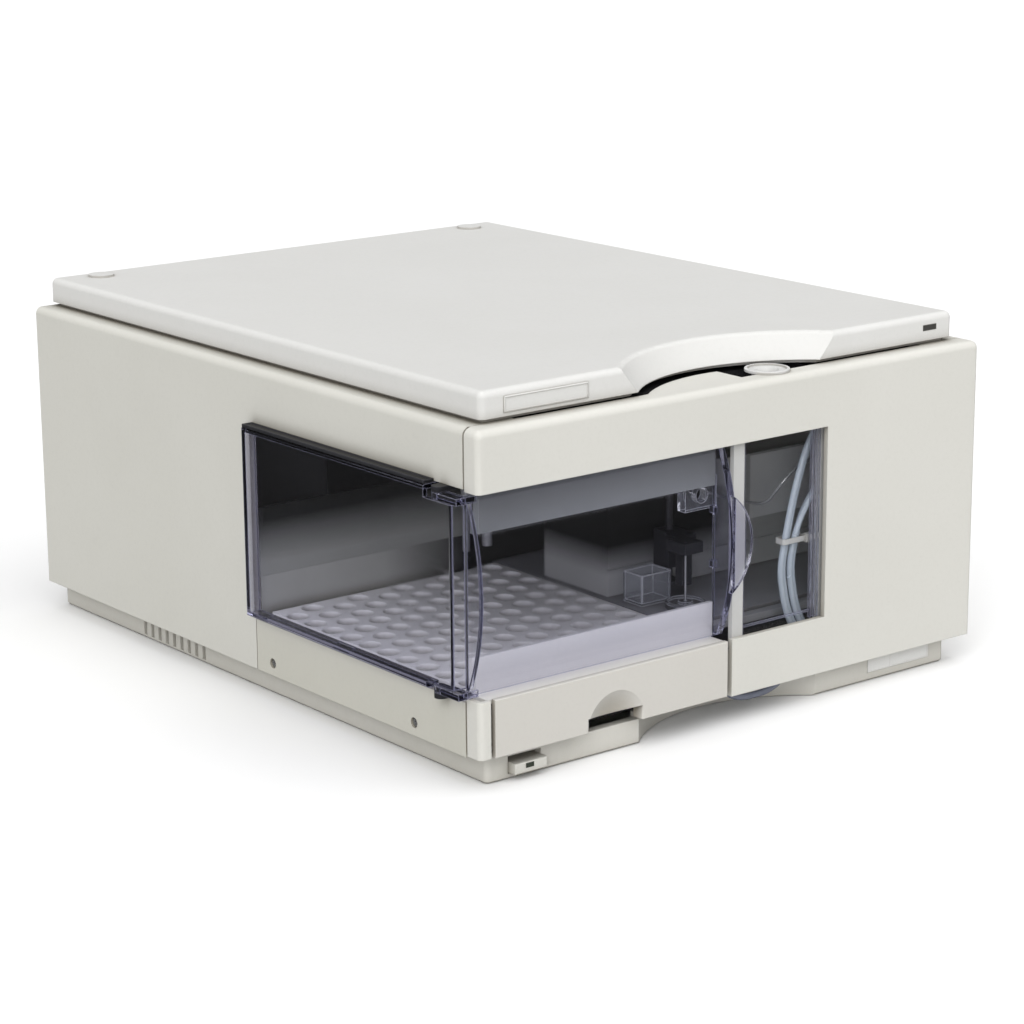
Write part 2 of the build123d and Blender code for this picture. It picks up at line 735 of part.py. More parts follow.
with BuildPart() as sample_tray:
    block(tray_left, tray_right, tray_front, tray_rear, foam_pocket_floor, tray_top)
    fillet(sample_tray.edges().filter_by(Axis.Z), radius=tray_rim)
    for column in range(well_columns):
        for row in range(well_rows):
            well_x = well_first_x + column * well_pitch_x
            well_y = well_first_y + (column % 2) * well_offset_y - row * well_pitch_y
            bar((well_x, well_y, foam_pocket_floor + well_floor), (0, 0, 1), well_radius,
                tray_top - foam_pocket_floor, mode=Mode.SUBTRACT)
save(sample_tray, "sample_tray")

# Tray compartment: front guard, back wall in two parts, and the beam over the door
guard_left_lap = 1.0
guard_left = tray_left - guard_left_lap
guard_right = -9.0
guard_thickness = 2.5
guard_front_setback = 14.4
guard_front = front + guard_front_setback
guard_top_lift = 21.5
guard_top = foam_top + guard_top_lift
guard_foot_setback = 3.5
guard_foot_front = front + guard_foot_setback
guard_foot_thickness = 2.0
beam_left_inset = 1.0
beam_left = tray_left + beam_left_inset
beam_right = -9.0
beam_front_setback = 13.0
beam_front = front + beam_front_setback
beam_thickness = 4.0
beam_bottom_drop = 23.2
beam_bottom = opening_top - beam_bottom_drop
foam_ceiling_drop = 9.0
foam_ceiling = ledge_bottom - foam_ceiling_drop
back_wall_front_setback = 198.4
back_wall_front = front + back_wall_front_setback
back_wall_thickness = 3.0
back_wall_left_inset = 5.5
back_wall_left = back_wall_left_inset - side
back_wall_right_inset = 16.5
back_wall_right = side - back_wall_right_inset
back_wall_seam_lift = 23.0
back_wall_seam = foam_top + back_wall_seam_lift
back_wall_top_lift = 61.0
back_wall_top = foam_top + back_wall_top_lift

with BuildPart() as tray_front_guard:
    block(guard_left, guard_right, guard_front, guard_front + guard_thickness, foam_top, guard_top)
    block(guard_left, guard_right, guard_foot_front, guard_front, foam_top, foam_top + guard_foot_thickness)
save(tray_front_guard, "tray_front_guard")

with BuildPart() as tray_back_wall:
    block(back_wall_left, back_wall_right, back_wall_front, back_wall_front + back_wall_thickness,
          foam_top, back_wall_seam)
save(tray_back_wall, "tray_back_wall")

with BuildPart() as rear_partition:
    block(back_wall_left, back_wall_right, back_wall_front, back_wall_front + back_wall_thickness,
          back_wall_seam, back_wall_top)
save(rear_partition, "rear_partition")

with BuildPart() as upper_beam:
    block(beam_left, beam_right, beam_front, beam_front + beam_thickness, beam_bottom, foam_ceiling)
save(upper_beam, "upper_beam")

# Upper foam: closes the inside under the covers, open around the leak funnel
ceiling_side_inset = 14.5
ceiling_side = side - ceiling_side_inset
ceiling_front_setback = 12.2
ceiling_front = front + ceiling_front_setback
ceiling_back = foam_back
ceiling_gap_left_reach = 25.0
ceiling_gap_left = funnel_x - ceiling_gap_left_reach
ceiling_gap_right_reach = 34.0
ceiling_gap_right = funnel_x + ceiling_gap_right_reach
ceiling_gap_back_reach = 20.35
ceiling_gap_back = funnel_y + ceiling_gap_back_reach

with BuildPart() as upper_foam:
    block(-ceiling_side, ceiling_side, ceiling_front, ceiling_back, foam_ceiling, ledge_bottom)
    block(ceiling_gap_left, ceiling_gap_right, ceiling_front - overrun, ceiling_gap_back,
          foam_ceiling - overrun, ledge_bottom + overrun, mode=Mode.SUBTRACT)
save(upper_foam, "upper_foam")

# Right bay: a leak pan as its floor, the sampling unit behind it
pan_left = -12.6
pan_right_inset = 15.5
pan_right = side - pan_right_inset
pan_front_setback = 26.4
pan_front = front + pan_front_setback
pan_rear_gap = 1.0
pan_rear = back_wall_front - pan_rear_gap
pan_thickness = 4.0
pan_groove = 2.0
pan_groove_width = 5.0
pan_groove_inset = 6.0
pan_top = foam_top + pan_thickness
bay_wall_left = -8.0
bay_wall_front_setback = 100.4
bay_wall_front = front + bay_wall_front_setback
bay_wall_thickness = 2.0
bay_wall_top_drop = 58.5
bay_wall_top = foam_ceiling - bay_wall_top_drop
bay_seam_z_lift = 19.0
bay_seam_z = foam_top + bay_seam_z_lift
bay_seam = 1.2
unit_rear_setback = 55.0
unit_rear = bay_wall_front + unit_rear_setback
unit_top_drop = 18.5
unit_top = bay_wall_top - unit_top_drop
label_right_inset = 14.0
label_right = pan_right - label_right_inset
label_left_width = 47.0
label_left = label_right - label_left_width
label_top_drop = 1.0
label_top = bay_wall_top - label_top_drop
label_bottom_height = 36.5
label_bottom = label_top - label_bottom_height
label_thickness = 0.2

with BuildPart() as leak_pan:
    block(pan_left, pan_right, pan_front, pan_rear, foam_top, pan_top)
    block(pan_left + pan_groove_inset, pan_right - pan_groove_inset, pan_front + pan_groove_inset,
          pan_front + pan_groove_inset + pan_groove_width, pan_top - pan_groove, pan_top + overrun,
          mode=Mode.SUBTRACT)
save(leak_pan, "leak_pan")

with BuildPart() as sampling_unit:
    block(bay_wall_left, pan_right, bay_wall_front, bay_wall_front + bay_wall_thickness, pan_top,
          bay_wall_top)
    block(bay_wall_left, pan_right, bay_wall_front + bay_wall_thickness, unit_rear, pan_top, unit_top)
    block(bay_wall_left - overrun, pan_right + overrun, bay_wall_front - overrun, bay_wall_front + bay_seam,
          bay_seam_z - bay_seam / 2, bay_seam_z + bay_seam / 2, mode=Mode.SUBTRACT)
save(sampling_unit, "sampling_unit")

with BuildPart() as wall_label:
    block(label_left, label_right, bay_wall_front - label_thickness, bay_wall_front, label_bottom,
          label_top)
save(wall_label, "wall_label")

# Needle unit: two rods on a foot, a carrier that lifts the needle out of its seat
needle_x = 12.0
needle_y_setback = 59.4
needle_y = front + needle_y_setback
seat_radius = 11.0
seat_height = 4.0
seat_dish = 1.5
seat_core_radius = 4.0
seat_bore_radius = 0.8
needle_radius = 0.5
needle_clear = 0.3
column_x_shift = 11.0
column_x = needle_x + column_x_shift
column_y_gap = 15.0
column_y = bay_wall_front - column_y_gap
column_half = 6.0
column_foot = 8.0
column_top_drop = 0.5
column_top = bay_wall_top - column_top_drop
column_cap = 4.0
column_rod_radius = 2.0
carrier_arm_left_shift = 2.5
carrier_arm_left = needle_x + carrier_arm_left_shift
carrier_arm_right_shift = 9.0
carrier_arm_right = needle_x + carrier_arm_right_shift
carrier_arm_front_shift = 5.0
carrier_arm_front = needle_y + carrier_arm_front_shift
carrier_arm_back_shift = 11.0
carrier_arm_back = needle_y + carrier_arm_back_shift
carrier_top_drop = 28.0
carrier_top = column_top - carrier_top_drop
carrier_bottom_height = 26.0
carrier_bottom = carrier_top - carrier_bottom_height
carrier_head = 6.0
carrier_hub_height = 20.0
seat_top = pan_top + seat_height
hub_bottom = carrier_top - carrier_hub_height

with BuildPart() as needle_seat:
    bar((needle_x, needle_y, pan_top), (0, 0, 1), seat_radius, seat_height)
    fillet(needle_seat.edges().group_by(Axis.Z)[-1], radius=seat_dish / 2)
    bar((needle_x, needle_y, seat_top - seat_dish), (0, 0, 1), seat_radius - seat_dish, overrun,
        mode=Mode.SUBTRACT)
    bar((needle_x, needle_y, pan_top), (0, 0, 1), seat_core_radius, seat_height)
    bar((needle_x, needle_y, pan_top + seat_dish), (0, 0, 1), seat_bore_radius, overrun, mode=Mode.SUBTRACT)
save(needle_seat, "needle_seat")

with BuildPart() as needle_column:
    block(column_x - column_half, column_x + column_half, column_y - column_half, bay_wall_front,
          pan_top, pan_top + column_foot)
    bar((column_x, column_y, pan_top + column_foot), (0, 0, 1), column_rod_radius,
        column_top - column_cap - pan_top - column_foot)
    block(column_x - column_half, column_x + column_half, column_y - column_half, bay_wall_front,
          column_top - column_cap, column_top)
save(needle_column, "needle_column")

with BuildPart() as needle_carrier:
    block(carrier_arm_left, carrier_arm_right, carrier_arm_front, carrier_arm_back, carrier_bottom,
          carrier_top)
    block(column_x - column_half, column_x + column_half, column_y - column_half, column_y + column_half,
          hub_bottom, carrier_top)
    block(carrier_arm_left, column_x + column_half, carrier_arm_back - seat_gap, column_y - column_half,
          carrier_top - carrier_head, carrier_top)
    block(needle_x - column_rod_radius * 2, carrier_arm_right, needle_y - column_rod_radius * 2,
          carrier_arm_back,
          carrier_top - carrier_head, carrier_top)
    bar((column_x, column_y, hub_bottom - overrun), (0, 0, 1), column_rod_radius + run_gap,
        carrier_hub_height + 2 * overrun, mode=Mode.SUBTRACT)
    bar((needle_x, needle_y, carrier_top - carrier_head - overrun), (0, 0, 1), needle_radius,
        carrier_head + 2 * overrun, mode=Mode.SUBTRACT)
save(needle_carrier, "needle_carrier")

with BuildPart() as needle:
    bar((needle_x, needle_y, seat_top + needle_clear), (0, 0, 1), needle_radius,
        carrier_top - seat_top - needle_clear)
save(needle, "needle")

# Clear rinse cup, and the clear shield with a round hole behind the beam
cup_left = -6.0
cup_right = 15.5
cup_front_gap = 26.0
cup_front = bay_wall_front - cup_front_gap
cup_back_gap = 10.0
cup_back = bay_wall_front - cup_back_gap
cup_height = 17.0
cup_wall = 1.2
flap_left_inset = 17.0
flap_left = beam_right - flap_left_inset
flap_right_reach = 6.0
flap_right = beam_right + flap_right_reach
flap_depth = 6.0
flap_bottom_drop = 13.0
flap_bottom = beam_bottom - flap_bottom_drop
flap_top_lift = 4.0
flap_top = beam_bottom + flap_top_lift
flap_hole_radius = 4.0
flap_hole_z_drop = 5.5
flap_hole_z = beam_bottom - flap_hole_z_drop
flap_front = beam_front + beam_thickness
flap_back = flap_front + flap_depth

with BuildPart() as rinse_cup:
    block(cup_left, cup_right, cup_front, cup_back, pan_top, pan_top + cup_height)
    fillet(rinse_cup.edges().filter_by(Axis.Z), radius=cup_wall)
    block(cup_left + cup_wall, cup_right - cup_wall, cup_front + cup_wall, cup_back - cup_wall,
          pan_top + cup_wall, pan_top + cup_height + overrun, mode=Mode.SUBTRACT)
save(rinse_cup, "rinse_cup")

with BuildPart() as safety_flap:
    block(flap_left, flap_right, flap_front, flap_back, flap_bottom, flap_top)
    bar(((flap_left + flap_right) / 2, flap_front - overrun, flap_hole_z), (0, 1, 0), flap_hole_radius,
        flap_back - flap_front + 2 * overrun, mode=Mode.SUBTRACT)
save(safety_flap, "safety_flap")

# Metering drive: a slotted body with a head on top, and a plunger carriage that slides in it
metering_right_inset = 32.5
metering_right = side - metering_right_inset
metering_left_width = 22.0
metering_left = metering_right - metering_left_width
metering_front_setback = 16.4
metering_front = front + metering_front_setback
metering_back_depth = 50.0
metering_back = metering_front + metering_back_depth
metering_top_drop = 31.0
metering_top = foam_ceiling - metering_top_drop
slot_left_inset = 4.0
slot_left = metering_left + slot_left_inset
slot_right_inset = 4.0
slot_right = metering_right - slot_right_inset
slot_back_depth = 36.0
slot_back = metering_front + slot_back_depth
slot_bottom_lift = 22.0
slot_bottom = foam_top + slot_bottom_lift
slot_top_drop = 16.0
slot_top = metering_top - slot_top_drop
head_radius = 9.0
head_height = 24.0
head_cap = 3.0
plunger_radius = 3.0
plunger_y_depth = 20.0
plunger_y = metering_front + plunger_y_depth
plunger_block = 14.0
plunger_block_bottom_lift = 6.0
plunger_block_bottom = slot_bottom + plunger_block_bottom_lift
plunger_top_drop = 6.0
plunger_top = metering_top - plunger_top_drop
metering_x = (metering_left + metering_right) / 2

with BuildPart() as metering_body:
    block(metering_left, metering_right, metering_front, metering_back, pan_top, metering_top)
    block(slot_left, slot_right, metering_front - overrun, slot_back, slot_bottom, slot_top,
          mode=Mode.SUBTRACT)
    bar((metering_x, plunger_y, metering_top), (0, 0, 1), head_radius, head_height)
    bar((metering_x, plunger_y, slot_top - overrun), (0, 0, 1), plunger_radius + run_gap,
        metering_top + head_height - head_cap - slot_top + overrun, mode=Mode.SUBTRACT)
save(metering_body, "metering_body")

with BuildPart() as metering_plunger:
    block(slot_left + loose_gap, slot_right - loose_gap, metering_front + sheet, slot_back - loose_gap,
          plunger_block_bottom, plunger_block_bottom + plunger_block)
    bar((metering_x, plunger_y, plunger_block_bottom + plunger_block), (0, 0, 1), plunger_radius,
        plunger_top - plunger_block_bottom - plunger_block)
save(metering_plunger, "metering_plunger")

# Injection valve: a round body on the bay wall, with a rotor disc behind its face
valve_x_inset = 17.5
valve_x = side - valve_x_inset
valve_z_drop = 14.5
valve_z = bay_wall_top - valve_z_drop
valve_radius = 11.5
valve_front_gap = 38.0
valve_front = bay_wall_front - valve_front_gap
rotor_radius = 7.0
rotor_thickness = 5.0
rotor_shaft_radius = 2.5
rotor_shaft_length = 16.0
rotor_front_depth = 6.0
rotor_front = valve_front + rotor_front_depth
port_count = 6
port_radius = 1.0
port_ring = 6.5
port_depth = 4.0

with BuildPart() as valve_body:
    bar((valve_x, valve_front, valve_z), (0, 1, 0), valve_radius, bay_wall_front - valve_front)
    bar((valve_x, rotor_front - loose_gap, valve_z), (0, 1, 0), rotor_radius + seat_gap,
        rotor_thickness + 2 * loose_gap, mode=Mode.SUBTRACT)
    bar((valve_x, rotor_front, valve_z), (0, 1, 0), rotor_shaft_radius + run_gap,
        rotor_thickness + rotor_shaft_length + loose_gap, mode=Mode.SUBTRACT)
    with Locations(Plane(origin=(valve_x, valve_front, valve_z), z_dir=(0, -1, 0))):
        with PolarLocations(port_ring, port_count):
            Hole(port_radius, depth=port_depth)
save(valve_body, "valve_body")

with BuildPart() as valve_rotor:
    bar((valve_x, rotor_front, valve_z), (0, 1, 0), rotor_radius, rotor_thickness)
    bar((valve_x, rotor_front + rotor_thickness, valve_z), (0, 1, 0), rotor_shaft_radius,
        rotor_shaft_length)
save(valve_rotor, "valve_rotor")

# Thin tubes: a bundle behind the right window, a steel capillary and the drain loop in the plinth notch
tube_radius = 1.6
tube_pitch = 3.3
bundle_front_y_setback = 17.7
bundle_front_y = front + bundle_front_y_setback
bundle_back_y_setback = 19.5
bundle_back_y = front + bundle_back_y_setback
bundle_route = ((73.8, 175.0), (71.2, 152.0), (60.6, 136.0), (52.2, 112.0), (46.6, 88.0), (43.4, 72.0),
                (47.6, 50.0), (56.2, 34.0), (58.6, 15.0))
branch_y_setback = 21.2
branch_y = front + branch_y_setback
branch_route = ((121.0, 128.2), (100.0, 126.5), (82.0, 121.0), (67.0, 112.0), (57.5, 98.0), (53.2, 88.0),
                (50.0, 72.0), (54.2, 50.0), (62.8, 34.0), (65.2, 15.0))
capillary_radius = 0.8
capillary_points = ((121.0, 43.0, 115.1), (98.0, 38.4, 122.0), (76.0, 36.4, 124.0), (60.0, 36.4, 114.0),
                    (58.0, 46.4, 100.0), (60.0, 72.4, 97.0), (60.0, 103.4, 96.1))
capillary_route = [(x, front + setback, z) for x, setback, z in capillary_points]
drain_radius = 1.75
drain_y_setback = 14.9
drain_y = front + drain_y_setback
drain_route = ((-2.3, 18.5), (5.0, 10.5), (15.0, 7.2), (31.0, 7.2), (41.0, 10.5), (48.3, 18.5))
tie_z = 88.0
tie_height = 3.0
tie_left = 41.9
tie_right = 58.6
tie_reach = 2.6
tie_front = bundle_front_y - tie_reach
tie_back = bundle_back_y + tie_reach
tie_thickness = 1.0
tie_head_width = 3.4
tie_head_height = 4.6
tie_head_depth = 2.8

bundle_tubes = [tube([(x - tube_pitch / 2, bundle_front_y, z) for x, z in bundle_route], tube_radius),
                tube([(x + tube_pitch / 2, bundle_back_y, z) for x, z in bundle_route], tube_radius),
                tube([(x - tube_pitch / 2, bundle_front_y, z) for x, z in branch_route], tube_radius),
                tube([(x + tube_pitch / 2, branch_y if z > tie_z else bundle_back_y, z)
                      for x, z in branch_route], tube_radius)]
with BuildPart() as tube_bundle:
    for single in bundle_tubes:
        add(single)
    block(metering_left, metering_right, bundle_front_y - overrun, branch_y + overrun, deck_top,
          metering_top,
          mode=Mode.SUBTRACT)
    split(bisect_by=Plane.XY.offset(foam_ceiling), keep=Keep.BOTTOM)
    split(bisect_by=Plane.XY.offset(deck_top), keep=Keep.TOP)
save(tube_bundle, "tube_bundle")

with BuildPart() as cable_tie:
    block(tie_left, tie_right, tie_front, tie_back, tie_z - tie_height / 2, tie_z + tie_height / 2)
    fillet(cable_tie.edges().filter_by(Axis.Z), radius=tie_height / 2)
    block(tie_left + tie_thickness, tie_right - tie_thickness, tie_front + tie_thickness / 2,
          tie_back - tie_thickness / 2,
          tie_z - tie_height, tie_z + tie_height, mode=Mode.SUBTRACT)
    block(tie_right - tie_thickness, tie_right + tie_head_width - tie_thickness, tie_front - tie_thickness,
          tie_front - tie_thickness + tie_head_depth, tie_z - tie_head_height / 2,
          tie_z + tie_head_height / 2)
save(cable_tie, "cable_tie")

with BuildPart() as steel_capillary:
    add(tube(capillary_route, capillary_radius))
    split(bisect_by=Plane.YZ.offset(metering_left), keep=Keep.BOTTOM)
    split(bisect_by=Plane(origin=(0, bay_wall_front, 0), z_dir=(0, 1, 0)), keep=Keep.BOTTOM)
save(steel_capillary, "steel_capillary")

with BuildPart() as drain_tube:
    add(tube([(x, drain_y, z) for x, z in drain_route], drain_radius))
    split(bisect_by=Plane.XY.offset(plinth_height), keep=Keep.BOTTOM)
save(drain_tube, "drain_tube")

# Transport: a frame on the lower foam, two rails along X, a carriage, a lift and a swinging arm
pivot_x = -30.0
pivot_y_setback = 176.4
pivot_y = front + pivot_y_setback
frame_left_outer_inset = 6.5
frame_left_outer = frame_left_outer_inset - side
frame_right_outer_inset = 20.5
frame_right_outer = side - frame_right_outer_inset
frame_plate = 4.0
frame_front_setback = 210.4
frame_front = front + frame_front_setback
frame_rear_depth = 46.0
frame_rear = frame_front + frame_rear_depth
frame_bar_height = 6.0
frame_bar_depth = 10.0
rail_front_y_depth = 8.0
rail_front_y = frame_front + rail_front_y_depth
rail_rear_y_depth = 34.0
rail_rear_y = frame_front + rail_rear_y_depth
rail_z_drop = 11.0
rail_z = foam_ceiling - rail_z_drop
rail_radius = 4.0
screw_y = (rail_front_y + rail_rear_y) / 2
lead_radius = 4.0
journal_radius = 2.5
carriage_length = 34.0
carriage_overhang = 10.0
carriage_bottom_drop = 10.0
carriage_bottom = rail_z - carriage_bottom_drop
carriage_top_lift = 10.0
carriage_top = rail_z + carriage_top_lift
carriage_rear_depth = 40.5
carriage_rear = frame_front + carriage_rear_depth
carriage_front_reach = 2.0
carriage_front = frame_front - carriage_front_reach
shoulder_front_reach = 8.0
shoulder_front = pivot_y - shoulder_front_reach
rod_offset_y = 14.5
rod_offset_left = 5.0
rod_offset_right = 9.0
rod_radius = 3.0
rod_bottom_lift = 16.0
rod_bottom = foam_top + rod_bottom_lift
rail_left = frame_left_outer + frame_plate
rail_right = frame_right_outer - frame_plate

with BuildPart() as transport_frame:
    block(frame_left_outer, rail_left, frame_front, frame_rear, foam_top, foam_ceiling)
    block(rail_right, frame_right_outer, frame_front, frame_rear, foam_top, foam_ceiling)
    block(rail_left, rail_right, frame_rear - frame_bar_depth, frame_rear, foam_top,
          foam_top + frame_bar_height)
    bar((frame_left_outer - overrun, screw_y, rail_z), (1, 0, 0), journal_radius + run_gap,
        frame_right_outer - frame_left_outer + 2 * overrun, mode=Mode.SUBTRACT)
save(transport_frame, "transport_frame")

with BuildPart() as x_rails:
    for rail_y in (rail_front_y, rail_rear_y):
        bar((rail_left, rail_y, rail_z), (1, 0, 0), rail_radius, rail_right - rail_left)
save(x_rails, "x_rails")

with BuildPart() as x_leadscrew:
    bar((rail_left + loose_gap, screw_y, rail_z), (1, 0, 0), lead_radius,
        rail_right - rail_left - 2 * loose_gap)
    bar((frame_left_outer, screw_y, rail_z), (1, 0, 0), journal_radius,
        frame_right_outer - frame_left_outer + overrun)
save(x_leadscrew, "x_leadscrew")

motor_radius = 14.0
motor_length = 14.0
with BuildPart() as x_motor:
    bar((frame_right_outer, screw_y, rail_z - motor_radius + lead_radius * 2), (1, 0, 0), motor_radius,
        motor_length)
    bar((frame_right_outer, screw_y, rail_z), (1, 0, 0), journal_radius + run_gap, overrun + loose_gap,
        mode=Mode.SUBTRACT)
save(x_motor, "x_motor")

carriage_left = pivot_x - carriage_overhang
carriage_right = pivot_x + carriage_length
with BuildPart() as x_carriage:
    block(pivot_x, carriage_right, carriage_front, carriage_rear, carriage_bottom, carriage_top)
    block(carriage_left, carriage_right, shoulder_front, carriage_front, carriage_bottom, carriage_top)
    for rail_y in (rail_front_y, rail_rear_y):
        bar((carriage_left - overrun, rail_y, rail_z), (1, 0, 0), rail_radius + run_gap,
            carriage_right - carriage_left + 2 * overrun, mode=Mode.SUBTRACT)
    bar((carriage_left - overrun, screw_y, rail_z), (1, 0, 0), lead_radius + loose_gap,
        carriage_right - carriage_left + 2 * overrun, mode=Mode.SUBTRACT)
save(x_carriage, "x_carriage")

rod_places = ((pivot_x - rod_offset_left, pivot_y + rod_offset_y), (pivot_x + rod_offset_right,
              pivot_y + rod_offset_y))
with BuildPart() as z_guide_rods:
    for rod_x, rod_y in rod_places:
        bar((rod_x, rod_y, rod_bottom), (0, 0, 1), rod_radius, carriage_bottom - rod_bottom)
save(z_guide_rods, "z_guide_rods")

slider_left = 9.5
slider_right = 14.0
slider_front = 10.0
slider_back = 19.5
slider_bottom_drop = 15.0
slider_bottom = carriage_bottom - slider_bottom_drop
slider_height = 14.0
pivot_pin_radius = 4.0
pin_cap_radius = 6.0
pin_cap = 1.5
arm_hub_radius = 9.0
arm_half = 6.0
arm_height = 10.0
arm_reach = 140.0
arm_gap = 0.5
arm_top = slider_bottom - arm_gap
arm_bottom = arm_top - arm_height

with BuildPart() as z_slider:
    block(pivot_x - slider_left, pivot_x + slider_right, pivot_y - slider_front, pivot_y + slider_back,
          slider_bottom, slider_bottom + slider_height)
    for rod_x, rod_y in rod_places:
        bar((rod_x, rod_y, slider_bottom - overrun), (0, 0, 1), rod_radius + run_gap,
            slider_height + 2 * overrun,
            mode=Mode.SUBTRACT)
    bar((pivot_x, pivot_y, arm_bottom - arm_gap), (0, 0, 1), pivot_pin_radius,
        slider_bottom - arm_bottom + arm_gap)
    bar((pivot_x, pivot_y, arm_bottom - arm_gap - pin_cap), (0, 0, 1), pin_cap_radius, pin_cap)
save(z_slider, "z_slider")

# Gripper: a head at the arm's end, and two fingers that slide on one cross pin
finger_length = 8.0
finger_thickness = 2.5
finger_top_gap = 0.3
finger_drop = 9.0
finger_open = 7.0
cross_radius = 1.5
cross_half = 11.5
cross_drop = 3.0
grip_x = pivot_x + arm_reach
finger_top = arm_bottom - finger_top_gap
finger_bottom = finger_top - finger_drop
cross_z = arm_bottom - cross_drop
ear_length = 3.0

with BuildPart() as gripper_arm:
    block(pivot_x, grip_x + finger_length / 2, pivot_y - arm_half, pivot_y + arm_half, arm_bottom, arm_top)
    bar((pivot_x, pivot_y, arm_bottom), (0, 0, 1), arm_hub_radius, arm_height)
    bar((pivot_x, pivot_y, arm_bottom - overrun), (0, 0, 1), pivot_pin_radius + run_gap,
        arm_height + 2 * overrun,
        mode=Mode.SUBTRACT)
    block(grip_x - ear_length / 2, grip_x + ear_length / 2, pivot_y - ear_length / 2,
          pivot_y + ear_length / 2,
          cross_z - ear_length, arm_bottom)
    bar((grip_x, pivot_y - cross_half, cross_z), (0, 1, 0), cross_radius, 2 * cross_half)
save(gripper_arm, "gripper_arm")


def finger(sign):
    with BuildPart() as jaw:
        block(grip_x - finger_length / 2, grip_x + finger_length / 2, pivot_y + sign * finger_open,
              pivot_y + sign * (finger_open + finger_thickness), finger_bottom, finger_top)
        bar((grip_x, pivot_y - cross_half - overrun, cross_z), (0, 1, 0), cross_radius + run_gap,
            2 * cross_half + 2 * overrun, mode=Mode.SUBTRACT)
    return jaw


finger_left = finger(1)
save(finger_left, "gripper_finger_left")
finger_right = finger(-1)
save(finger_right, "gripper_finger_right")

# Electronics behind the transport: power supply, main board, fan, rear panel and its connectors
supply_left_inset = 162.5
supply_left = side - supply_left_inset
supply_right_inset = 22.5
supply_right = side - supply_right_inset
supply_front_gap = 10.0
supply_front = foam_back + supply_front_gap
supply_rear_gap = 32.4
supply_rear = back - supply_rear_gap
supply_top_lift = 82.0
supply_top = deck_top + supply_top_lift
panel_side_inset = 0.6
panel_side = side_inner - panel_side_inset
fan_size = 80.0
fan_depth = 25.0
fan_x_inset = 77.5
fan_x = fan_x_inset - side
fan_z_drop = 62.6
fan_z = cover_top - fan_z_drop
fan_bore = 37.0
fan_hub = 15.0
fan_hub_length = 16.0
fan_shaft = 2.0
fan_shaft_length = 4.0
fan_strut = 4.0
fan_strut_depth = 4.0
blade_count = 7
blade_reach = 35.5
blade_thickness = 2.0
blade_height = 12.0
blade_tilt = 35.0
inlet_x_inset = 60.5
inlet_x = side - inlet_x_inset
inlet_z_lift = 20.0
inlet_z = deck_top + inlet_z_lift
inlet_width = 28.0
inlet_height = 22.0
inlet_depth = 24.0
inlet_proud = 3.0
inlet_well = 14.0
connector_y_gap = 12.4
connector_y = back - connector_y_gap
connector_proud = 9.15
connector_height = 12.0
connector_z_drop = 54.6
connector_z = cover_top - connector_z_drop
connector_fan_gap = 35.0
connector_right_inset = 26.5
connector_left = fan_x + fan_size / 2 + connector_fan_gap
connector_right = side - connector_right_inset
connector_row = connector_right - connector_left
connector_shares = ((0.0, 0.3614), (0.4337, 0.5542), (0.6265, 0.747), (0.8193, 1.0))
connector_spans = [(connector_left + start * connector_row, connector_left + end * connector_row)
                   for start, end in connector_shares]
board_overhang = 10.0
board_left = connector_left - board_overhang
board_right = connector_right + board_overhang
board_bottom_drop = 20.0
board_bottom = connector_z - board_bottom_drop
board_top_lift = 37.0
board_top = connector_z + board_top_lift
board_thickness = 1.6
chip_size = 18.0
chip_height = 3.0
fan_front = panel_front_y - fan_depth

with BuildPart() as power_supply:
    block(supply_left, supply_right, supply_front, supply_rear, deck_top, supply_top)
save(power_supply, "power_supply")

with BuildPart() as rear_panel:
    block(-panel_side, panel_side, panel_front_y, back, plinth_height, ledge_bottom)
    block(ledge_width + loose_gap - side, side - ledge_width - loose_gap, panel_front_y, back,
          ledge_bottom, cover_top)
    bar((fan_x, panel_front_y - overrun, fan_z), (0, 1, 0), fan_bore, sheet + 2 * overrun,
        mode=Mode.SUBTRACT)
    block(inlet_x - inlet_width / 2 - loose_gap, inlet_x + inlet_width / 2 + loose_gap,
          panel_front_y - overrun,
          back + overrun, inlet_z - inlet_height / 2 - loose_gap, inlet_z + inlet_height / 2 + loose_gap,
          mode=Mode.SUBTRACT)
    for span_left, span_right in connector_spans:
        block(span_left - loose_gap, span_right + loose_gap, panel_front_y - overrun, back + overrun,
              connector_z - loose_gap, connector_z + connector_height + loose_gap, mode=Mode.SUBTRACT)
save(rear_panel, "rear_panel")

with BuildPart() as rear_connectors:
    for span_left, span_right in connector_spans:
        block(span_left, span_right, connector_y, back + connector_proud, connector_z,
              connector_z + connector_height)
    block(inlet_x - inlet_width / 2, inlet_x + inlet_width / 2, back - inlet_depth, back + inlet_proud,
          inlet_z - inlet_height / 2, inlet_z + inlet_height / 2)
    block(inlet_x - inlet_width / 2 + wall, inlet_x + inlet_width / 2 - wall,
          back + inlet_proud - inlet_well,
          back + inlet_proud + overrun, inlet_z - inlet_height / 2 + wall,
          inlet_z + inlet_height / 2 - wall,
          mode=Mode.SUBTRACT)
save(rear_connectors, "rear_connectors")

with BuildPart() as main_board:
    block(board_left, board_right, connector_y - board_thickness, connector_y, board_bottom, board_top)
    for span_left, span_right in connector_spans:
        block((span_left + span_right - chip_size) / 2, (span_left + span_right + chip_size) / 2,
              connector_y - board_thickness - chip_height, connector_y - board_thickness,
              board_bottom + chip_height, board_bottom + chip_height + chip_size)
save(main_board, "main_board")

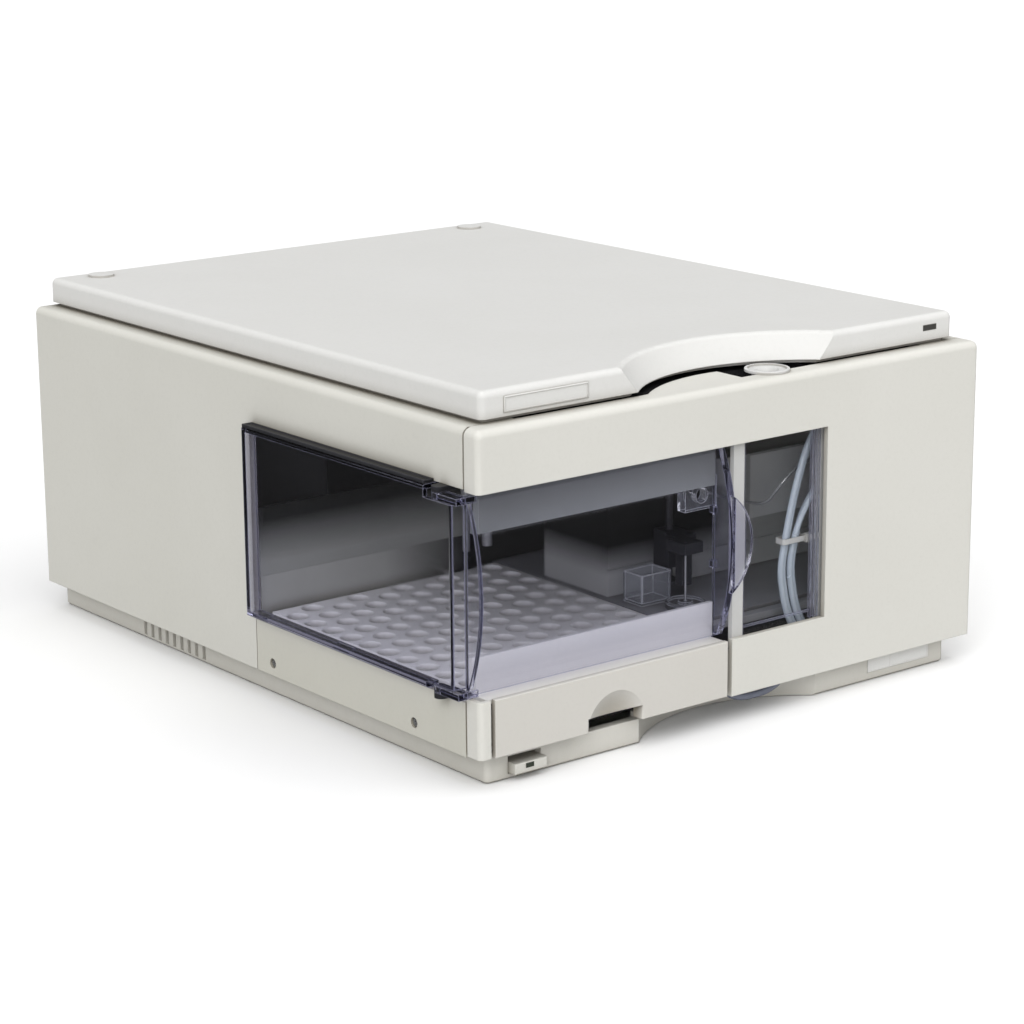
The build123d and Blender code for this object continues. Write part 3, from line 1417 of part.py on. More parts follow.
with BuildPart() as fan_frame:
    block(fan_x - fan_size / 2, fan_x + fan_size / 2, fan_front, panel_front_y, fan_z - fan_size / 2,
          fan_z + fan_size / 2)
    bar((fan_x, fan_front - overrun, fan_z), (0, 1, 0), fan_bore, fan_depth + 2 * overrun,
        mode=Mode.SUBTRACT)
    block(fan_x - fan_strut / 2, fan_x + fan_strut / 2, fan_front, fan_front + fan_strut_depth,
          fan_z - fan_bore - fan_strut / 2, fan_z + fan_bore + fan_strut / 2)
    block(fan_x - fan_bore - fan_strut / 2, fan_x + fan_bore + fan_strut / 2, fan_front,
          fan_front + fan_strut_depth,
          fan_z - fan_strut / 2, fan_z + fan_strut / 2)
    bar((fan_x, fan_front, fan_z), (0, 1, 0), fan_hub, fan_strut_depth)
    bar((fan_x, fan_front - overrun, fan_z), (0, 1, 0), fan_shaft + run_gap, fan_depth, mode=Mode.SUBTRACT)
save(fan_frame, "fan_frame")

blade_y = fan_front + fan_strut_depth + seat_gap + fan_hub_length / 2
with BuildPart() as fan_rotor:
    bar((fan_x, blade_y - fan_hub_length / 2, fan_z), (0, 1, 0), fan_hub, fan_hub_length)
    bar((fan_x, blade_y - fan_hub_length / 2 - fan_shaft_length, fan_z), (0, 1, 0), fan_shaft,
        fan_shaft_length)
    with Locations(Plane(origin=(fan_x, blade_y, fan_z), z_dir=(0, 1, 0))):
        with PolarLocations((fan_hub + blade_reach - blade_thickness) / 2, blade_count):
            Box(blade_reach - fan_hub + blade_thickness, blade_thickness, blade_height,
                rotation=(blade_tilt, 0, 0))
save(fan_rotor, "fan_rotor")
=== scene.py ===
import bpy
import json
import math
from mathutils import Matrix, Vector


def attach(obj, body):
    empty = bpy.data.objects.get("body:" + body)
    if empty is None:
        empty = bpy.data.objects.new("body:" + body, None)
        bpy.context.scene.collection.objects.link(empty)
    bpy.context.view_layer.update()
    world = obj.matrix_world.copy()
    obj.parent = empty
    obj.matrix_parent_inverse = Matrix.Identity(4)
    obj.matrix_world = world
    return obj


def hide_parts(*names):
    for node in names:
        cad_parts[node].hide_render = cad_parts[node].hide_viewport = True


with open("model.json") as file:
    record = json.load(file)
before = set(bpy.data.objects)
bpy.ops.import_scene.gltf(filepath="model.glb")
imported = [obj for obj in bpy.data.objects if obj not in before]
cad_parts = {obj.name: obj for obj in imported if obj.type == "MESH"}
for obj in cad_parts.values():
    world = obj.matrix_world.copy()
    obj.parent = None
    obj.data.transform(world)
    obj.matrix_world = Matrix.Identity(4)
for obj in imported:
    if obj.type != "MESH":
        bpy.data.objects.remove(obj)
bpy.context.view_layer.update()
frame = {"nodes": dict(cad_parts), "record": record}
cadNodes = frame["nodes"]
print("frame loaded with", len(cadNodes), "nodes")

# The camera stands where the photograph was taken from, fitted to the housing's corners.
cameraView = {
    "place": (-0.99672, -1.29255, 0.49730),
    "azimuth": 37.788,
    "elevation": 14.840,
    "roll": -0.513,
    "lens": 103.12,
    "sensor": 36.0,
    "shiftX": 0.01184,
    "shiftY": 0.01205,
    "near": 0.05,
    "far": 40.0,
}

cameraData = bpy.data.cameras.new("mainCamera")
cameraData.sensor_width = cameraView["sensor"]
cameraData.lens = cameraView["lens"]
cameraData.shift_x = cameraView["shiftX"]
cameraData.shift_y = cameraView["shiftY"]
cameraData.clip_start = cameraView["near"]
cameraData.clip_end = cameraView["far"]
cameraData.dof.use_dof = False
camera = bpy.data.objects.new("mainCamera", cameraData)
turned = (
    Matrix.Rotation(-math.radians(cameraView["azimuth"]), 3, "Z")
    @ Matrix.Rotation(math.radians(90 - cameraView["elevation"]), 3, "X")
    @ Matrix.Rotation(math.radians(cameraView["roll"]), 3, "Z")
)
camera.location = cameraView["place"]
camera.rotation_euler = turned.to_euler()
bpy.context.scene.collection.objects.link(camera)
bpy.context.scene.camera = camera
print("camera placed")

nodeStep = 180  # spacing of the nodes in the shader editor


def addNode(tree, kind, inputs=None, **settings):
    node = tree.nodes.new(kind)
    node.location = (nodeStep * len(tree.nodes), 0)
    for key, value in settings.items():
        setattr(node, key, value)
    for key, value in (inputs or {}).items():
        if isinstance(value, bpy.types.NodeSocket):
            tree.links.new(value, node.inputs[key])
        else:
            node.inputs[key].default_value = value
    return node


def startGroup(name, inputs, outputs):
    group = bpy.data.node_groups.new(name, "ShaderNodeTree")
    for label, kind in inputs.items():
        group.interface.new_socket(name=label, in_out="INPUT", socket_type=kind)
    for label, kind in outputs.items():
        group.interface.new_socket(name=label, in_out="OUTPUT", socket_type=kind)
    return group, addNode(group, "NodeGroupInput"), addNode(group, "NodeGroupOutput")


def useGroup(tree, group, inputs):
    return addNode(tree, "ShaderNodeGroup", inputs, node_tree=group)


def stretchRange(tree, value, low, high, toLow, toHigh):
    return addNode(tree, "ShaderNodeMapRange", {
        "Value": value, "From Min": low, "From Max": high, "To Min": toLow, "To Max": toHigh,
    }).outputs["Result"]


def doMath(tree, operation, first, second):
    return addNode(tree, "ShaderNodeMath", {0: first, 1: second}, operation=operation).outputs[0]


def asColor(value):
    return value if isinstance(value, bpy.types.NodeSocket) else (*value, 1.0)


def mixColors(tree, share, first, second, blend="MIX"):
    return addNode(
        tree, "ShaderNodeMix", {0: share, 6: asColor(first), 7: asColor(second)}, data_type="RGBA", blend_type=blend
    ).outputs[2]


# Fine moulding grain: two sizes of noise laid over each other.
grainForm = {
    "fineDetail": 3.0, "fineRoughness": 0.6,
    "coarseStep": 0.3, "coarseDetail": 2.0, "coarseRoughness": 0.5, "coarseShare": 0.5,
}
grainField, groupIn, groupOut = startGroup(
    "grainField",
    {"Vector": "NodeSocketVector", "Scale": "NodeSocketFloat"},
    {"Height": "NodeSocketFloat"},
)
fineNoise = addNode(grainField, "ShaderNodeTexNoise", {
    "Vector": groupIn.outputs["Vector"], "Scale": groupIn.outputs["Scale"],
    "Detail": grainForm["fineDetail"], "Roughness": grainForm["fineRoughness"],
})
coarseScale = doMath(grainField, "MULTIPLY", groupIn.outputs["Scale"], grainForm["coarseStep"])
coarseNoise = addNode(grainField, "ShaderNodeTexNoise", {
    "Vector": groupIn.outputs["Vector"], "Scale": coarseScale,
    "Detail": grainForm["coarseDetail"], "Roughness": grainForm["coarseRoughness"],
})
coarseHeight = doMath(grainField, "MULTIPLY", coarseNoise.outputs["Fac"], grainForm["coarseShare"])
grainSum = doMath(grainField, "ADD", fineNoise.outputs["Fac"], coarseHeight)
grainField.links.new(grainSum, groupOut.inputs["Height"])

# Slow drift between two close colours, with faint specks in it.
toneForm = {
    "detail": 5.0, "roughness": 0.6, "distortion": 0.3, "range": (0.32, 0.68),
    "speckStep": 45.0, "speckDetail": 2.0, "speckRoughness": 0.7, "speckRange": (0.5, 0.75),
    "speckShare": 0.035, "speckColor": (0.25, 0.24, 0.2),
}
toneField, groupIn, groupOut = startGroup(
    "toneField",
    {
        "Vector": "NodeSocketVector", "Scale": "NodeSocketFloat",
        "First": "NodeSocketColor", "Second": "NodeSocketColor",
    },
    {"Color": "NodeSocketColor", "Mask": "NodeSocketFloat"},
)
driftNoise = addNode(toneField, "ShaderNodeTexNoise", {
    "Vector": groupIn.outputs["Vector"], "Scale": groupIn.outputs["Scale"],
    "Detail": toneForm["detail"], "Roughness": toneForm["roughness"], "Distortion": toneForm["distortion"],
})
driftShare = stretchRange(toneField, driftNoise.outputs["Fac"], *toneForm["range"], 0.0, 1.0)
driftColor = mixColors(toneField, driftShare, groupIn.outputs["First"], groupIn.outputs["Second"])
speckScale = doMath(toneField, "MULTIPLY", groupIn.outputs["Scale"], toneForm["speckStep"])
speckNoise = addNode(toneField, "ShaderNodeTexNoise", {
    "Vector": groupIn.outputs["Vector"], "Scale": speckScale,
    "Detail": toneForm["speckDetail"], "Roughness": toneForm["speckRoughness"],
})
speckShare = stretchRange(
    toneField, speckNoise.outputs["Fac"], *toneForm["speckRange"], 0.0, toneForm["speckShare"]
)
speckColor = mixColors(toneField, speckShare, driftColor, toneForm["speckColor"], "MULTIPLY")
toneField.links.new(speckColor, groupOut.inputs["Color"])
toneField.links.new(driftShare, groupOut.inputs["Mask"])

# Mask of the edges of a form, and the normal that rounds them.
edgeForm = {"samples": 4, "flat": 0.995, "sharp": 0.86}
edgeField, groupIn, groupOut = startGroup(
    "edgeField",
    {"Radius": "NodeSocketFloat"},
    {"Mask": "NodeSocketFloat", "Normal": "NodeSocketVector"},
)
roundedEdge = addNode(
    edgeField, "ShaderNodeBevel", {"Radius": groupIn.outputs["Radius"]}, samples=edgeForm["samples"]
)
plainSurface = addNode(edgeField, "ShaderNodeNewGeometry")
edgeDot = addNode(edgeField, "ShaderNodeVectorMath", {
    0: roundedEdge.outputs["Normal"], 1: plainSurface.outputs["Normal"],
}, operation="DOT_PRODUCT")
edgeMask = stretchRange(edgeField, edgeDot.outputs["Value"], edgeForm["flat"], edgeForm["sharp"], 0.0, 1.0)
edgeField.links.new(edgeMask, groupOut.inputs["Mask"])
edgeField.links.new(roundedEdge.outputs["Normal"], groupOut.inputs["Normal"])

# Dust that lies on faces turned upwards.
dustForm = {"upward": (0.6, 1.0), "scale": 38.0, "detail": 6.0, "roughness": 0.7, "patch": (0.42, 0.72)}
dustField, groupIn, groupOut = startGroup(
    "dustField",
    {"Vector": "NodeSocketVector"},
    {"Mask": "NodeSocketFloat"},
)
dustSurface = addNode(dustField, "ShaderNodeNewGeometry")
dustNormal = addNode(dustField, "ShaderNodeSeparateXYZ", {0: dustSurface.outputs["Normal"]})
dustUp = stretchRange(dustField, dustNormal.outputs["Z"], *dustForm["upward"], 0.0, 1.0)
dustNoise = addNode(dustField, "ShaderNodeTexNoise", {
    "Vector": groupIn.outputs["Vector"], "Scale": dustForm["scale"],
    "Detail": dustForm["detail"], "Roughness": dustForm["roughness"],
})
dustPatch = stretchRange(dustField, dustNoise.outputs["Fac"], *dustForm["patch"], 0.0, 1.0)
dustMask = doMath(dustField, "MULTIPLY", dustUp, dustPatch)
dustField.links.new(dustMask, groupOut.inputs["Mask"])

# Mask of corners and gaps, which the plastics darken as painted shade with some grime.
cavityForm = {"samples": 6, "open": 0.95, "closed": 0.35}
cavityField, groupIn, groupOut = startGroup(
    "cavityField",
    {"Distance": "NodeSocketFloat"},
    {"Mask": "NodeSocketFloat"},
)
cavityShade = addNode(
    cavityField, "ShaderNodeAmbientOcclusion", {"Distance": groupIn.outputs["Distance"]},
    samples=cavityForm["samples"],
)
cavityMask = stretchRange(
    cavityField, cavityShade.outputs["AO"], cavityForm["open"], cavityForm["closed"], 0.0, 1.0
)
cavityField.links.new(cavityMask, groupOut.inputs["Mask"])

# Thin scuffs that run two ways.
scuffForm = {
    "tilt": 0.3, "ways": ((0.5, (1.0, 0.05, 0.6)), (-0.9, (0.06, 1.0, 0.4))),
    "detail": 3.0, "roughness": 0.8, "range": (0.66, 0.74),
}
scuffField, groupIn, groupOut = startGroup(
    "scuffField",
    {"Vector": "NodeSocketVector", "Scale": "NodeSocketFloat"},
    {"Mask": "NodeSocketFloat"},
)
scuffMasks = []
for turn, stretch in scuffForm["ways"]:
    scuffWay = addNode(scuffField, "ShaderNodeMapping", {
        "Vector": groupIn.outputs["Vector"], "Rotation": (scuffForm["tilt"], turn, turn), "Scale": stretch,
    })
    scuffNoise = addNode(scuffField, "ShaderNodeTexNoise", {
        "Vector": scuffWay.outputs["Vector"], "Scale": groupIn.outputs["Scale"],
        "Detail": scuffForm["detail"], "Roughness": scuffForm["roughness"],
    })
    scuffMasks.append(stretchRange(scuffField, scuffNoise.outputs["Fac"], *scuffForm["range"], 0.0, 1.0))
scuffBoth = doMath(scuffField, "MAXIMUM", scuffMasks[0], scuffMasks[1])
scuffField.links.new(scuffBoth, groupOut.inputs["Mask"])

# Brush lines along one way, for drawn and brushed metal.
brushForm = {"detail": 4.0, "roughness": 0.65}
brushField, groupIn, groupOut = startGroup(
    "brushField",
    {"Vector": "NodeSocketVector", "Stretch": "NodeSocketVector"},
    {"Height": "NodeSocketFloat"},
)
brushWay = addNode(brushField, "ShaderNodeVectorMath", {
    0: groupIn.outputs["Vector"], 1: groupIn.outputs["Stretch"],
}, operation="MULTIPLY")
brushNoise = addNode(brushField, "ShaderNodeTexNoise", {
    "Vector": brushWay.outputs["Vector"], "Scale": 1.0,
    "Detail": brushForm["detail"], "Roughness": brushForm["roughness"],
})
brushField.links.new(brushNoise.outputs["Fac"], groupOut.inputs["Height"])
print("node groups made")


def startMaterial(name):
    material = bpy.data.materials.new(name)
    material.use_nodes = True
    tree = material.node_tree
    tree.nodes.clear()
    return material, tree, addNode(tree, "ShaderNodeTexCoord").outputs["Object"]


def closeMaterial(tree, surface, volume=None):
    output = addNode(tree, "ShaderNodeOutputMaterial", {"Surface": surface})
    if volume is not None:
        tree.links.new(volume, output.inputs["Volume"])


def useTone(tree, place, look):
    return useGroup(tree, toneField, {
        "Vector": place, "Scale": look["toneScale"],
        "First": asColor(look["light"]), "Second": asColor(look["dark"]),
    })


def mouldedPlastic(name, look):
    material, tree, place = startMaterial(name)
    tone = useTone(tree, place, look)
    edge = useGroup(tree, edgeField, {"Radius": look["edgeRadius"]})
    grain = useGroup(tree, grainField, {"Vector": place, "Scale": look["grainScale"]})
    scuff = useGroup(tree, scuffField, {"Vector": place, "Scale": look["scuffScale"]})
    dust = useGroup(tree, dustField, {"Vector": place})
    cavity = useGroup(tree, cavityField, {"Distance": look["shadeAndGrimeReach"]})
    edgeShare = doMath(tree, "MULTIPLY", edge.outputs["Mask"], look["edgeShare"])
    edgeNoise = doMath(tree, "MULTIPLY", edgeShare, tone.outputs["Mask"])
    worn = mixColors(tree, edgeNoise, tone.outputs["Color"], look["edge"])
    scuffShare = doMath(tree, "MULTIPLY", scuff.outputs["Mask"], look["scuffShare"])
    scuffed = mixColors(tree, scuffShare, worn, look["edge"])
    dustShare = doMath(tree, "MULTIPLY", dust.outputs["Mask"], look["dustShare"])
    dusty = mixColors(tree, dustShare, scuffed, look["dust"])
    # Corners and gaps darkened: painted shade, with some grime in them.
    shadeAndGrimeShare = doMath(tree, "MULTIPLY", cavity.outputs["Mask"], look["shadeAndGrimeShare"])
    shadedAndGrimy = mixColors(tree, shadeAndGrimeShare, dusty, look["shadeAndGrime"], "MULTIPLY")
    # Painted shade: darker past the sunk range along one axis, where the part lies in shadow.
    paintedShadePlace = addNode(tree, "ShaderNodeSeparateXYZ", {0: place}).outputs[look["paintedShadeAxis"]]
    paintedShadeShare = stretchRange(tree, paintedShadePlace, *look["sunk"], 1.0, 0.0)
    shaded = mixColors(tree, paintedShadeShare, shadedAndGrimy, look["paintedShadeColor"], "MULTIPLY")
    roughBase = stretchRange(tree, grain.outputs["Height"], *look["grainRange"], look["smooth"], look["rough"])
    roughness = doMath(tree, "SUBTRACT", roughBase, doMath(tree, "MULTIPLY", edgeNoise, look["edgePolish"]))
    bump = addNode(tree, "ShaderNodeBump", {
        "Height": grain.outputs["Height"], "Normal": edge.outputs["Normal"],
        "Strength": look["grainStrength"], "Distance": look["grainDepth"],
    })
    shader = addNode(tree, "ShaderNodeBsdfPrincipled", {
        "Base Color": shaded, "Roughness": roughness, "Normal": bump.outputs["Normal"], "IOR": look["ior"],
    })
    closeMaterial(tree, shader.outputs["BSDF"])
    return material


def metalFinish(name, look):
    material, tree, place = startMaterial(name)
    tone = useTone(tree, place, look)
    edge = useGroup(tree, edgeField, {"Radius": look["edgeRadius"]})
    brush = useGroup(tree, brushField, {"Vector": place, "Stretch": look["stretch"]})
    scuff = useGroup(tree, scuffField, {"Vector": place, "Scale": look["scuffScale"]})
    edgeShare = doMath(tree, "MULTIPLY", edge.outputs["Mask"], look["edgeShare"])
    worn = mixColors(tree, edgeShare, tone.outputs["Color"], look["edge"])
    brushShare = stretchRange(tree, brush.outputs["Height"], *look["brushRange"], 0.0, look["brushShare"])
    brushed = mixColors(tree, brushShare, worn, look["brush"])
    # Painted shadow: darker towards the top, on the side below the side end, for the shade over the inner bay.
    along = addNode(tree, "ShaderNodeSeparateXYZ", {0: place})
    shadeByHeight = stretchRange(tree, along.outputs["Z"], *look["shadeRise"], 0.0, 1.0)
    shadeBySide = stretchRange(tree, along.outputs["X"], look["shadeSideEnd"], look["shadeSideEnd"] - look["shadeSideBlend"], 0.0, 1.0)
    topShadeShare = doMath(tree, "MULTIPLY", shadeByHeight, shadeBySide)
    topShaded = mixColors(tree, topShadeShare, brushed, look["topShadeColor"])
    roughBase = stretchRange(tree, brush.outputs["Height"], *look["roughRange"], look["smooth"], look["rough"])
    roughness = doMath(tree, "ADD", roughBase, doMath(tree, "MULTIPLY", scuff.outputs["Mask"], look["scuffRough"]))
    bump = addNode(tree, "ShaderNodeBump", {
        "Height": brush.outputs["Height"], "Normal": edge.outputs["Normal"],
        "Strength": look["grainStrength"], "Distance": look["grainDepth"],
    })
    shader = addNode(tree, "ShaderNodeBsdfPrincipled", {
        "Base Color": topShaded, "Roughness": roughness, "Normal": bump.outputs["Normal"],
        "Metallic": look["metallic"], "Specular IOR Level": look["specular"],
    })
    closeMaterial(tree, shader.outputs["BSDF"])
    return material


def clearPlastic(name, look):
    material, tree, place = startMaterial(name)
    tone = useTone(tree, place, look)
    edge = useGroup(tree, edgeField, {"Radius": look["edgeRadius"]})
    scuff = useGroup(tree, scuffField, {"Vector": place, "Scale": look["scuffScale"]})
    # Edges tinted in the base colour: painted light for how light runs through the plastic's edges.
    edgeShare = doMath(tree, "MULTIPLY", edge.outputs["Mask"], look["edgeShare"])
    tinted = mixColors(tree, edgeShare, tone.outputs["Color"], look["edge"])
    smudge = addNode(tree, "ShaderNodeTexNoise", {
        "Vector": place, "Scale": look["smudgeScale"],
        "Detail": look["smudgeDetail"], "Roughness": look["smudgeRoughness"],
    })
    roughBase = stretchRange(tree, smudge.outputs["Fac"], *look["smudgeRange"], look["smooth"], look["rough"])
    roughness = doMath(tree, "ADD", roughBase, doMath(tree, "MULTIPLY", scuff.outputs["Mask"], look["scuffRough"]))
    wave = addNode(tree, "ShaderNodeTexNoise", {
        "Vector": place, "Scale": look["waveScale"], "Detail": look["waveDetail"],
    })
    bump = addNode(tree, "ShaderNodeBump", {
        "Height": wave.outputs["Fac"], "Strength": look["waveStrength"], "Distance": look["waveDepth"],
    })
    shader = addNode(tree, "ShaderNodeBsdfPrincipled", {
        "Base Color": tinted, "Roughness": roughness, "Normal": bump.outputs["Normal"], "IOR": look["ior"],
        "Metallic": 0.0, "Transmission Weight": look["clear"],
    })
    # Edges get a pale diffuse rim as a painted highlight, and lamps shine straight through the walls.
    rim = addNode(tree, "ShaderNodeBsdfDiffuse", {"Color": asColor(look["rim"])})
    rimHighlightShare = doMath(tree, "MULTIPLY", edge.outputs["Mask"], look["rimHighlightShare"])
    rimHighlighted = addNode(tree, "ShaderNodeMixShader", {0: rimHighlightShare, 1: shader.outputs["BSDF"], 2: rim.outputs["BSDF"]})
    path = addNode(tree, "ShaderNodeLightPath")
    lampShare = doMath(tree, "MAXIMUM", path.outputs["Is Shadow Ray"], path.outputs["Is Diffuse Ray"])
    through = addNode(tree, "ShaderNodeBsdfTransparent", {"Color": tone.outputs["Color"]})
    both = addNode(tree, "ShaderNodeMixShader", {
        0: lampShare, 1: rimHighlighted.outputs["Shader"], 2: through.outputs["BSDF"],
    })
    depth = addNode(tree, "ShaderNodeVolumeAbsorption", {
        "Color": asColor(look["depthColor"]), "Density": look["density"],
    })
    closeMaterial(tree, both.outputs["Shader"], depth.outputs["Volume"])
    return material


def cellularFoam(name, look):
    material, tree, place = startMaterial(name)
    tone = useTone(tree, place, look)
    cells = addNode(tree, "ShaderNodeTexVoronoi", {"Vector": place, "Scale": look["cellScale"], "Randomness": 1.0})
    cellShare = stretchRange(tree, cells.outputs["Distance"], *look["pitShadeRange"], look["pitShadeShare"], 0.0)
    pitShaded = mixColors(tree, cellShare, tone.outputs["Color"], look["pitShade"])
    bump = addNode(tree, "ShaderNodeBump", {
        "Height": cells.outputs["Distance"], "Strength": look["cellStrength"], "Distance": look["cellDepth"],
    })
    roughness = stretchRange(tree, cells.outputs["Distance"], 0.0, 1.0, look["smooth"], look["rough"])
    shader = addNode(tree, "ShaderNodeBsdfPrincipled", {
        "Base Color": pitShaded, "Roughness": roughness, "Normal": bump.outputs["Normal"],
        "Specular IOR Level": look["specular"],
    })
    closeMaterial(tree, shader.outputs["BSDF"])
    return material


# Plastics: each finish states only what differs from the housing's own plastic.
# A painted shade range, sunk for plastics and the top shade for metals, far outside the part stands for none.
housingLook = {
    "light": (0.652, 0.643, 0.603), "dark": (0.634, 0.625, 0.583), "toneScale": 9.0,
    "edge": (0.760, 0.752, 0.715), "edgeShare": 0.6, "edgeRadius": 0.0006,
    "grainScale": 1700.0, "grainStrength": 0.22, "grainDepth": 0.00005,
    "scuffScale": 60.0, "scuffShare": 0.06, "dust": (0.58, 0.565, 0.52), "dustShare": 0.05,
    "smooth": 0.46, "rough": 0.62, "grainRange": (0.4, 1.1), "edgePolish": 0.12, "ior": 1.48,
    # The corner darkening below is painted shade with some grime.
    "shadeAndGrime": (0.32, 0.28, 0.22), "shadeAndGrimeShare": 0.7, "shadeAndGrimeReach": 0.008,
    # The sunk range paints shade; by default it lies outside every part.
    "paintedShadeAxis": "Z", "sunk": (-9.0, -8.0), "paintedShadeColor": (0.55, 0.54, 0.53),
}
plasticLooks = {
    "cover_plastic": {"light": (0.628, 0.620, 0.576), "dark": (0.604, 0.596, 0.550)},
    "front_plastic": {},
    # The lower front panel is darker overall and darker still in its recess, both painted shade.
    "panel_plastic": {
        "light": (0.600, 0.582, 0.545), "dark": (0.584, 0.566, 0.528), "paintedShadeAxis": "Y", "sunk": (-0.2068, -0.2116),
        "paintedShadeColor": (0.66, 0.63, 0.58),
    },
    # The top cover is greyer than the housing and lighter; the extra lightness is painted light for the top's
    # brighter lighting.
    "top_plastic": {"light": (0.672, 0.669, 0.654), "dark": (0.655, 0.652, 0.635)},
    "base_plastic": {
        "light": (0.650, 0.636, 0.592), "dark": (0.612, 0.598, 0.548), "shadeAndGrimeShare": 0.3, "scuffShare": 0.14,
    },
    "strip_plastic": {"light": (0.570, 0.560, 0.500), "dark": (0.548, 0.537, 0.478)},
    "white_plastic": {
        "light": (0.640, 0.640, 0.634), "dark": (0.618, 0.618, 0.610), "smooth": 0.32, "rough": 0.46,
    },
    "button_plastic": {
        "light": (0.640, 0.632, 0.590), "dark": (0.610, 0.600, 0.555), "smooth": 0.35, "rough": 0.5,
    },
    "button_lens": {
        "light": (0.055, 0.062, 0.050), "dark": (0.035, 0.042, 0.032), "edge": (0.30, 0.31, 0.28), "smooth": 0.12,
        "rough": 0.25,
    },
    "lamp_lens": {
        "light": (0.070, 0.068, 0.062), "dark": (0.040, 0.040, 0.038), "edge": (0.34, 0.33, 0.30), "smooth": 0.10,
        "rough": 0.22,
    },
    "black_plastic": {
        "light": (0.030, 0.030, 0.033), "dark": (0.018, 0.018, 0.020), "edge": (0.10, 0.10, 0.11),
        "dust": (0.10, 0.10, 0.10),
    },
    "hinge_plastic": {
        "light": (0.032, 0.032, 0.036), "dark": (0.020, 0.020, 0.024), "edge": (0.16, 0.16, 0.19),
        "dust": (0.10, 0.10, 0.10), "smooth": 0.28, "rough": 0.42,
    },
    "connector_plastic": {
        "light": (0.032, 0.032, 0.036), "dark": (0.022, 0.022, 0.026), "edge": (0.11, 0.11, 0.12),
        "dust": (0.10, 0.10, 0.10),
    },
    "carrier_plastic": {
        "light": (0.040, 0.040, 0.045), "dark": (0.026, 0.026, 0.030), "edge": (0.12, 0.12, 0.13),
        "dust": (0.12, 0.12, 0.12),
    },
    # The tray darkens towards its bottom as painted shade.
    "tray_plastic": {
        "light": (0.890, 0.878, 0.845), "dark": (0.865, 0.853, 0.820), "edge": (0.88, 0.87, 0.85),
        "shadeAndGrimeShare": 0.1, "sunk": (0.0440, 0.0478), "edgeRadius": 0.0010, "grainScale": 900.0, "smooth": 0.38,
        "rough": 0.52,
    },
    "guard_plastic": {
        "light": (0.780, 0.770, 0.722), "dark": (0.755, 0.745, 0.700), "edge": (0.82, 0.81, 0.78),
        "shadeAndGrimeShare": 0.15, "smooth": 0.30, "rough": 0.45,
    },
    # The bay's back wall darkens towards +X, nearly to black, as painted shadow.
    "wall_plastic": {
        "light": (0.430, 0.430, 0.390), "dark": (0.400, 0.400, 0.362), "edge": (0.48, 0.48, 0.44), "paintedShadeAxis": "X",
        "sunk": (-0.030, -0.085), "paintedShadeColor": (0.05, 0.05, 0.05),
    },
    "beam_plastic": {
        "light": (0.240, 0.252, 0.240), "dark": (0.190, 0.200, 0.191), "edge": (0.40, 0.41, 0.40),
        "shadeAndGrimeShare": 0.2,
    },
    "pan_plastic": {"light": (0.300, 0.300, 0.305), "dark": (0.262, 0.262, 0.268), "edge": (0.40, 0.40, 0.41)},
    "post_plastic": {
        "light": (0.480, 0.478, 0.455), "dark": (0.450, 0.448, 0.425), "edge": (0.54, 0.54, 0.52),
        "shadeAndGrimeShare": 0.2,
    },
    # shaded_white is a darker copy of the white plastic, painted shade for the strip in the door's recess.
    "shaded_white": {
        "light": (0.520, 0.520, 0.512), "dark": (0.490, 0.490, 0.482), "edge": (0.62, 0.62, 0.61),
        "shadeAndGrimeShare": 0.2,
    },
    "tie_plastic": {"light": (0.720, 0.715, 0.690), "dark": (0.680, 0.675, 0.645), "smooth": 0.35, "rough": 0.5},
    "foot_rubber": {
        "light": (0.030, 0.030, 0.031), "dark": (0.018, 0.018, 0.019), "edge": (0.07, 0.07, 0.07),
        "dust": (0.16, 0.15, 0.14), "dustShare": 0.4, "smooth": 0.7, "rough": 0.85,
    },
    "label_paper": {
        "light": (0.800, 0.800, 0.788), "dark": (0.770, 0.770, 0.757), "edge": (0.70, 0.69, 0.66),
        "grainScale": 2600.0, "smooth": 0.6, "rough": 0.8,
    },
    "board": {
        "light": (0.020, 0.110, 0.045), "dark": (0.012, 0.075, 0.032), "edge": (0.25, 0.22, 0.08),
        "dust": (0.16, 0.16, 0.13), "grainScale": 700.0, "smooth": 0.3, "rough": 0.5,
    },
}

